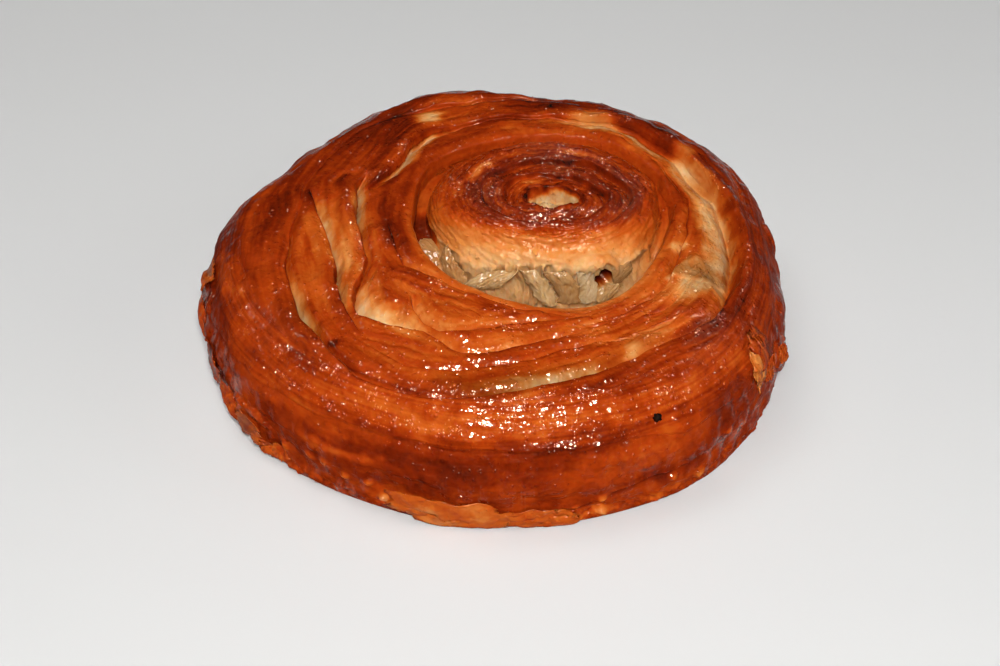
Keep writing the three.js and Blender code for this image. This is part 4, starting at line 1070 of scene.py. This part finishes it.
# the skin is cut into four pieces along its rows: the first and the last row of each
fields = {"bake": bake, "glaze": glaze, "across": across, "shadeAndWet": shadeAndWet}
cuts = {"coilHeart": (0, 137), "innerBands": (137, 274), "outerBands": (274, 411),
        "sideCrust": (411, grid.shape[1] - 1)}
for name, (first, last) in cuts.items():
    part = slice(first, last + 1)
    piece = roundPiece(name, grid[:, part], {key: field[:, part] for key, field in fields.items()},
                       normals[:, part], poleStart=name == "coilHeart", poleEnd=name == "sideCrust")
    piece.data.materials.append(glazedCrust)
    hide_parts("pastry")


# veils: torn skins of dough in the hollow. Each one is stretched between two edges, smooth lines through their
# points, bows out between them by bow * (1 - v^2), v running from -1 to 1, and is creped by ripples
veilLook = {"along": 72, "across": 36, "thick": 0.14, "crepe": 0.09, "fine": 0.06, "ragged": 0.22,
            "outward": (0.0, -0.68, 0.73)}
veils = {   # one edge, the other edge, bow, bake, seed
    "left": ([(-17.0, 3.4, 22.6), (-15.6, 2.6, 21.4), (-13.8, 1.6, 20.2), (-12.0, 0.6, 19.4)],
             [(-14.4, 7.2, 22.4), (-11.6, 6.0, 22.6), (-9.6, 4.2, 22.4), (-8.8, 2.4, 21.8)], 0.2, 0.34, 1),
    "tongue": ([(-9.6, 0.3, 26.2), (-10.6, 0.6, 23.2), (-10.2, -1.4, 21.2), (-9.0, -3.2, 19.4)],
               [(-9.2, 0.6, 26.0), (-7.6, -2.3, 24.3), (-6.1, -4.1, 23.0), (-4.8, -5.4, 20.6)], 0.5, 0.28, 2),
    "leaf": ([(-5.4, -6.0, 21.4), (-3.0, -6.9, 24.3), (-0.6, -6.9, 25.2), (1.4, -7.2, 25.7), (3.6, -7.6, 25.8),
              (5.6, -7.4, 25.8)],
             [(-5.2, -6.2, 20.6), (-3.6, -7.6, 21.0), (-1.4, -8.0, 21.2), (0.8, -8.6, 21.9), (2.9, -8.6, 23.4),
              (5.4, -7.8, 25.5)],
             0.7, 0.12, 3),
    "fold": ([(5.6, -7.6, 26.4), (6.6, -8.4, 24.7), (7.8, -8.7, 22.4), (9.2, -9.5, 20.2), (10.9, -9.9, 18.6)],
             [(9.1, -8.3, 27.0), (10.3, -9.3, 25.8), (11.9, -9.3, 23.7), (13.1, -9.3, 20.8), (13.6, -9.3, 18.2)],
             0.9, 0.09, 4),
    "mass": ([(10.3, -8.4, 26.6), (11.7, -8.9, 24.5), (13.1, -8.7, 22.0), (13.8, -8.5, 18.2)],
             [(15.2, -8.9, 27.0), (16.8, -9.7, 25.7), (17.9, -9.6, 23.1), (18.4, -9.1, 18.6)], 0.6, 0.22, 5),
    "block": ([(17.3, -9.2, 27.0), (17.8, -9.6, 24.6), (18.0, -9.0, 21.5), (17.8, -9.0, 18.4)],
              [(20.8, -8.0, 26.6), (21.2, -7.0, 23.6), (21.9, -7.9, 21.3), (21.8, -8.4, 18.4)], 0.5, 0.0, 6),
    "rightLow": ([(21.6, -8.4, 19.0), (22.2, -8.0, 21.4), (23.8, -7.1, 21.9), (25.6, -5.9, 21.4)],
                 [(22.4, -8.8, 18.0), (24.0, -8.0, 18.4), (25.8, -6.5, 18.8), (27.2, -4.9, 19.8)], 0.4, 0.20, 7),
    "rightUp": ([(24.6, -7.4, 26.2), (25.7, -7.6, 26.9), (27.0, -6.8, 27.1), (28.5, -5.8, 27.2)],
                [(25.2, -6.2, 21.2), (26.5, -5.4, 20.8), (27.8, -4.9, 21.7), (28.9, -3.1, 21.8)], 0.5, 0.24, 8),
}


# values at even steps along a smooth line through points: uniform Catmull-Rom
def smoothLine(points, count):
    return onLine(np.array([points], float), np.linspace(0, len(points) - 1, count)[None])[0]


def makeVeil(edgeA, edgeB, bow, tone, seed):
    n, m = veilLook["along"], veilLook["across"]
    u, v = np.linspace(0, 1, n)[:, None], np.linspace(-1, 1, m)[None]
    one, other = smoothLine(edgeA, n)[:, None], smoothLine(edgeB, n)[:, None]
    length = np.linalg.norm(np.diff(one[:, 0], axis=0), axis=1).sum()
    wide = np.linalg.norm(other - one, axis=-1)
    points = one + (other - one) * (0.5 + 0.5 * v[..., None])
    normal = unit(np.cross(np.gradient(points, axis=1), np.gradient(points, axis=0)))
    s, w = u * length + 0 * v, v * wide / 2
    crepe = 1 - 1.3 * np.abs(ripple(s * 0.55, w * 1.3 + 0.5 * s, 2.3, seed))
    fine = ripple(s * 0.6 + 0.3 * w, w * 1.7, 0.85, seed + 0.4)
    ragged = veilLook["ragged"] * ripple(s, w * 0 + seed, 1.8, seed + 0.2) * np.abs(v) ** 3
    rise = bow * (1 - v * v) + veilLook["crepe"] * crepe * (1.3 - np.abs(v)) * 2 + veilLook["fine"] * fine
    facing = np.sign((normal * np.array(veilLook["outward"])).sum(-1, keepdims=True).mean())
    points = points + normal * facing * rise[..., None]
    points = points + (other - one) / wide[..., None] * (ragged * np.sign(v))[..., None]
    verts, faces, source = thinSkin(points, veilLook["thick"])
    shade = tone + 0.05 - 0.05 * crepe + 0.03 * fine + 0.04 * np.abs(v) ** 4
    return verts, faces, shade.ravel()[source]


# several skins in one mesh
def joined(parts):
    counts = np.cumsum([0] + [len(verts) for verts, faces, shades in parts])
    return (np.concatenate([verts for verts, faces, shades in parts]),
            np.concatenate([faces + count for (verts, faces, shades), count in zip(parts, counts)]).tolist(),
            np.concatenate([shades for verts, faces, shades in parts]))


verts, faces, shades = joined([makeVeil(*veil) for veil in veils.values()])
innerVeils = meshPiece("innerVeils", verts, faces, {"bake": np.clip(shades, 0, 1)})

# flakes of skin that stand off the side: angle, height, half span in degrees, half height, lift at the free
# edge, which way that looks (-1 to lower angles, 1 to higher), bake, how far the ends narrow, seed
flakeLook = {"points": 26, "thick": 0.22, "least": 0.05, "offFloor": 0.15}
sideFlakes = [
    (317.0, 22.8, 2.6, 3.0, 0.35, -1, 0.62, 0.08, 1), (315.2, 19.6, 2.3, 4.6, 0.45, -1, 0.42, 0.05, 2),
    (318.6, 17.6, 1.4, 3.2, 0.40, 1, 0.58, 0.10, 3), (326.0, 15.4, 1.4, 2.0, 0.55, 1, 0.60, 0.3, 4),
    (191.0, 21.0, 3.0, 2.4, 0.35, 1, 0.54, 0.30, 15), (196.0, 15.0, 3.2, 4.2, 0.30, -1, 0.64, 0.22, 11),
    (202.5, 10.8, 4.2, 3.8, 0.35, 1, 0.66, 0.30, 12), (209.5, 7.4, 3.2, 4.4, 0.45, -1, 0.62, 0.20, 7),
    (215.5, 6.3, 3.4, 3.2, 0.60, 1, 0.52, 0.34, 8), (220.6, 4.2, 3.4, 2.2, 0.50, -1, 0.58, 0.24, 9),
    (252.5, 4.6, 9.5, 4.0, 0.42, -1, 0.47, 0.12, 13), (267.0, 3.4, 7.0, 2.8, 0.30, 1, 0.54, 0.3, 14),
]


# the place and the outward direction of the skin at these angles and heights on the side: the point between
# the first row below the shoulder that is lower than the height and the row above it
def onSideAt(angle, level):
    column = np.floor(np.mod(angle, 360) * skin["angles"] / 360).astype(int) % skin["angles"]
    tops = bandStart + np.argmax(t[:, bandStart:] > skin["shoulderFrom"], axis=1)
    higher = heightOut[column][..., bandStart:t.shape[1]] > level[..., None]
    higher &= np.arange(bandStart, t.shape[1]) >= tops[column][..., None]
    row = np.minimum(tops[column] + np.maximum(higher.sum(-1), 1), t.shape[1] - 2)
    above, below = heightOut[column, row - 1], heightOut[column, row]
    share = np.clip((above - level) / np.maximum(above - below, 1e-3), 0, 1)[..., None]
    return mixed(grid[column, row - 1], grid[column, row], share), normals[column, row]


# a patch of the side lifted off it: place + outward * (least + lift * free^1.5 + ...), with ragged ends
def makeSideFlake(angle, level, span, tall, lift, way, tone, narrow, seed):
    steps = np.linspace(-1, 1, flakeLook["points"])
    u, v = np.meshgrid(steps, steps, indexing="ij")
    rough = 0.3 + 1.5 * narrow
    ragged = 0.20 * ripple(u * 0 + seed, v * 3, 2.6, seed) + 0.08 * ripple(u * 0, v * 3, 0.7, seed + 0.4)
    frayed = 0.20 * ripple(u * 3, v * 0 + seed, 2.2, seed + 0.3) + 0.07 * ripple(u * 3, v * 0, 0.7, seed + 0.5)
    slant = 0.22 * span * ease(4, 8, span)      # a wide flake's ends slant
    place, outward = onSideAt(angle + span * u * (1 + rough * ragged) * (1 - narrow * v * v) - slant * v,
                              level + tall * v * (1 + rough * frayed) * (1 - 0.8 * narrow * u * u))
    free = ease(-1.0, 1.0, u * way)
    off = flakeLook["least"] + 0.2 * ease(0.3, 0.05, narrow) + 0.3 * ease(0, 0.2, free) + lift * free ** 1.5
    off = off + 0.10 * ripple(u * 3, v * 3, 3.0, seed + 0.2) * free
    points = place + outward * off[..., None]
    points[..., 2] = np.maximum(points[..., 2], flakeLook["offFloor"])
    verts, faces, source = thinSkin(points, flakeLook["thick"])
    frayedRim = ease(0.75, 1.0, np.maximum(np.abs(u), np.abs(v)))
    shade = tone + 0.07 * ripple(u * 3, v * 2, 2.4, seed + 0.6) + 0.05 * frayedRim
    return verts, faces, shade.ravel()[source]


verts, faces, shades = joined([makeSideFlake(*flake) for flake in sideFlakes])
looseFlakes = meshPiece("looseFlakes", verts, faces,
                        {"bake": shades, "glaze": 0.25 + 0 * shades, "across": 0 * shades, "shadeAndWet": 0 * shades})
looseFlakes.data.materials.append(glazedCrust)

# beads of caramel and grains of sugar: how many, sides of each, least and most radius, and the dome's rings as
# (reach, height) with its top, in radii
beadLook = {"count": 2100, "sides": 7, "least": 0.12, "most": 0.32, "seed": 5,
            "rings": [(1.0, -0.12), (0.80, 0.26), (0.42, 0.50)], "tall": 0.58}
grainLook = {"count": 3000, "sides": 5, "least": 0.08, "most": 0.15, "seed": 6,
             "rings": [(1.0, -0.12), (0.66, 0.36)], "tall": 0.56}
cells = np.linalg.norm(np.cross(np.gradient(grid, axis=1), np.roll(grid, -1, 0) - np.roll(grid, 1, 0)), axis=-1)
clumps = ease(0.2, 1.4, ripple3(xg, yg, zg, 6.0, 21.0)) + 0.15
onTop = padded(bandFade * (1 - ease(20.5, 22.0, t)))
onHeart = padded(topShare * ease(1.1, 1.6, t))
onFront, onSides = padded(frontBand), padded(side)
upright = ease(0.45, 0.6, normals[..., 2]) + 0.1 * onSides
lower = np.exp(-((xg - 15) / 26) ** 2 - ((yg + 26) / 9) ** 2)      # the wrinkled front of the inner turns
beadCrowd = onTop * (0.07 + 1.7 * onFront + 1.2 * padded(crest) + 0.8 * lower) + 1.6 * onHeart + 0.04 * onSides
beadCrowd = beadCrowd * clumps * (padded(pale) < 0.3) * upright * cells
grainCrowd = onTop * (0.40 + 0.4 * onFront) + 3.0 * onHeart + 0.05 * onSides
grainCrowd = grainCrowd * (clumps + 0.25) * upright * cells


# domes scattered over the skin: rings that narrow upwards round a top, where a draw with a fixed seed puts them,
# as thick as the crowd says
def makeBeads(name, look, crowd):
    chance = np.random.default_rng(look["seed"])
    crowd = crowd.copy()
    crowd[:, -skin["baseRows"] - 6:] = 0
    picked = chance.choice(crowd.size, look["count"], replace=False, p=crowd.ravel() / crowd.sum())
    at, up = grid.reshape(-1, 3)[picked], normals.reshape(-1, 3)[picked]
    size = look["least"] + (look["most"] - look["least"]) * chance.random(len(picked)) ** 2.6
    stretch = 1 + 0.5 * chance.random(len(picked))
    sideA = np.cross(up, chance.normal(size=(len(picked), 3)))
    sideA /= np.linalg.norm(sideA, axis=-1, keepdims=True)
    sideB = np.cross(up, sideA)
    rings, sides = look["rings"], look["sides"]
    spin = np.arange(sides) * 2 * np.pi / sides
    domeU = np.append(np.concatenate([r * np.cos(spin) for r, h in rings]), 0)
    domeV = np.append(np.concatenate([r * np.sin(spin) for r, h in rings]), 0)
    domeH = np.append(np.repeat([h for r, h in rings], sides), look["tall"])
    points = at[:, None] + (sideA * (size * stretch)[:, None])[:, None] * domeU[None, :, None]
    points = points + (sideB * size[:, None])[:, None] * domeV[None, :, None]
    points = points + (up * size[:, None])[:, None] * domeH[None, :, None]
    k = np.arange(sides)
    nextK = (k + 1) % sides
    wall = np.stack([k, nextK, nextK + sides, k + sides], -1)
    wallFaces = np.concatenate([wall + sides * ring for ring in range(len(rings) - 1)])
    capStart = sides * (len(rings) - 1)
    capFaces = np.stack([k + capStart, nextK + capStart, np.full(sides, capStart + sides)], -1)
    perBead = sides * len(rings) + 1
    shift = (np.arange(len(picked)) * perBead)[:, None, None]
    faces = (wallFaces[None] + shift).reshape(-1, 4).tolist() + (capFaces[None] + shift).reshape(-1, 3).tolist()
    return meshPiece(name, points.reshape(-1, 3), faces, {"bake": np.repeat(bake.ravel()[picked], perBead)})


sugarBeads = makeBeads("sugarBeads", beadLook, beadCrowd)
sugarGrains = makeBeads("sugarGrains", grainLook, grainCrowd)


# torn dough, wet and half clear: pale, soft inside, with faint ridges
veilRamp = [(0.0, (0.62, 0.44, 0.25)), (0.10, (0.54, 0.34, 0.16)), (0.22, (0.47, 0.26, 0.10)),
            (0.45, (0.38, 0.15, 0.04))]


def veilMaterial(name):
    material, tree, place, mottle, (bakeIn,) = startMaterial(name, ("bake",), 1.4)
    tone = addedUp(tree, [bakeIn, shifted(tree, mottle["Blotch"], 0.3)], clamp=True)
    finishMaterial(tree, {"Base Color": rampNode(tree, tone, veilRamp),
                          "Normal": bumpNode(tree, [(mottle["Swell"], 0.4), (mottle["Speck"], 0.16)])},
                   {"Roughness": 0.27, "Specular IOR Level": 0.08, "Specular Tint": (1.0, 0.95, 0.90, 1.0),
                    "Subsurface Weight": 0.3, "Subsurface Radius": (1.0, 0.7, 0.4), "Subsurface Scale": 0.0008,
                    "Alpha": 0.85})
    return material


innerVeils.data.materials.append(veilMaterial("wetVeil"))


# clear caramel: the ground's own colour, painted a little paler as light shining through the bead, with a hard
# bright shine
def beadMaterial(name, shineTint):
    material, tree, place, mottle, (bakeIn,) = startMaterial(name, ("bake",), 1.0)
    paler = mathNode(tree, "SUBTRACT", bakeIn, 0.12)
    tone = addedUp(tree, [paler, shifted(tree, mottle["Speck"], 0.2)], clamp=True)
    finishMaterial(tree, {"Base Color": rampNode(tree, tone, bakeRamp)},
                   {"Roughness": 0.12, "Specular IOR Level": 0.5, "Specular Tint": shineTint})
    return material


sugarBeads.data.materials.append(beadMaterial("clearCaramel", (1.0, 0.88, 0.80, 1.0)))
sugarGrains.data.materials.append(beadMaterial("warmGrain", (1.0, 0.80, 0.66, 1.0)))

# one speck of char on the front shoulder: a small lumpy dome, half sunk in the skin
char = {"at": (32.1, -47.6, 23.1), "size": 0.78, "lumps": (0.30, 1.6, 31.0), "around": 24, "down": 12,
        "glaze": 0.02}
spin, fall = np.meshgrid(np.linspace(0, 2 * np.pi, char["around"] + 1)[:-1],
                         np.linspace(0, np.pi, char["down"] + 1), indexing="ij")
ball = np.stack([np.cos(spin) * np.sin(fall), np.sin(spin) * np.sin(fall), np.cos(fall)], -1)
ball *= 1 + ripples(*np.moveaxis(ball * 2, -1, 0), [char["lumps"]])[..., None]
same = np.ones_like(spin)
charSpeck = roundPiece("charSpeck", np.array(char["at"]) + ball * char["size"],
                       {"bake": same, "glaze": char["glaze"] * same, "across": 0 * same, "shadeAndWet": 0 * same},
                       poleStart=True, poleEnd=True)
charSpeck.data.materials.append(glazedCrust)

floorLook = {"size": 3.0, "colour": (0.62, 0.63, 0.64, 1), "rough": 0.55}
half = floorLook["size"] / 2
corners = [(-half, -half, 0), (half, -half, 0), (half, half, 0), (-half, half, 0)]
floorMesh = bpy.data.meshes.new("paleFloor")
floorMesh.from_pydata(corners, [], [(0, 1, 2, 3)])
floor = bpy.data.objects.new("paleFloor", floorMesh)
bpy.context.collection.objects.link(floor)
floor.visible_glossy = False        # a pale floor in the gloss would grey the dark caramel
floorMaterial = bpy.data.materials.new("paleFloor")
floorMaterial.use_nodes = True
floorShader = floorMaterial.node_tree.nodes["Principled BSDF"]
floorShader.inputs["Base Color"].default_value = floorLook["colour"]
floorShader.inputs["Roughness"].default_value = floorLook["rough"]
floorShader.inputs["Specular IOR Level"].default_value = 0.0
floorMesh.materials.append(floorMaterial)

# name, place in metres, aimed at, size, watts, colour, whether it lights the dough, whether the gloss shows it
lamps = [
    ("frontLamp", (0.02, -0.50, 0.54), (0, 0, 0.01), 0.10, 6.0, (1.0, 0.98, 0.95), True, False),
    ("glintLamp", (0.02, -0.50, 0.54), (0, 0, 0.01), 0.018, 72.0, (1.0, 0.98, 0.99), False, True),
    ("softTop", (-0.25, 0.05, 0.80), (0, 0, 0.01), 0.50, 2.0, (1.0, 0.98, 0.96), True, False),
    ("softSide", (0.65, -0.15, 0.45), (0, 0, 0.01), 0.40, 0.8, (1.0, 0.99, 0.98), True, False),
    ("sideGlint", (0.60, 0.20, 0.45), (0, 0, 0.02), 0.05, 1.6, (1.0, 0.98, 0.95), False, True),
    ("plateSheen", (0.0, -0.03, 0.001), (0.0, -0.03, 0.5), 0.44, 0.30, (1.0, 0.99, 0.97), False, True),
    ("leftGlint", (-0.62, 0.10, 0.42), (0, 0, 0.02), 0.05, 1.6, (1.0, 0.98, 0.95), False, True),
]
for name, place, target, size, watts, colour, lights, shine in lamps:
    lamp = bpy.data.lights.new(name, "AREA")
    lamp.shape = "DISK"
    lamp.size = size
    lamp.energy = watts
    lamp.color = colour
    holder = bpy.data.objects.new(name, lamp)
    holder.location = place
    acrossBy, alongBy, upBy = np.array(place) - np.array(target)
    holder.rotation_euler = (math.atan2(math.hypot(acrossBy, alongBy), upBy), 0,
                             math.atan2(alongBy, acrossBy) + math.pi / 2)
    holder.visible_camera, holder.visible_diffuse, holder.visible_glossy = False, lights, shine
    bpy.context.collection.objects.link(holder)

# the world is pale to look at and dim as a light
worldLook = {"colour": (0.88, 0.87, 0.86, 1), "seen": 0.4, "light": 0.018}
world = bpy.data.worlds.new("studio")
world.use_nodes = True
sky = world.node_tree
backdrop = sky.nodes["Background"]
backdrop.inputs["Color"].default_value = worldLook["colour"]
cameraRay = sky.nodes.new("ShaderNodeLightPath").outputs["Is Camera Ray"]
seen = mathNode(sky, "MULTIPLY", cameraRay, worldLook["seen"])
sky.links.new(mathNode(sky, "ADD", seen, worldLook["light"]), backdrop.inputs["Strength"])
bpy.context.scene.world = world
print("floor and lamps are set")
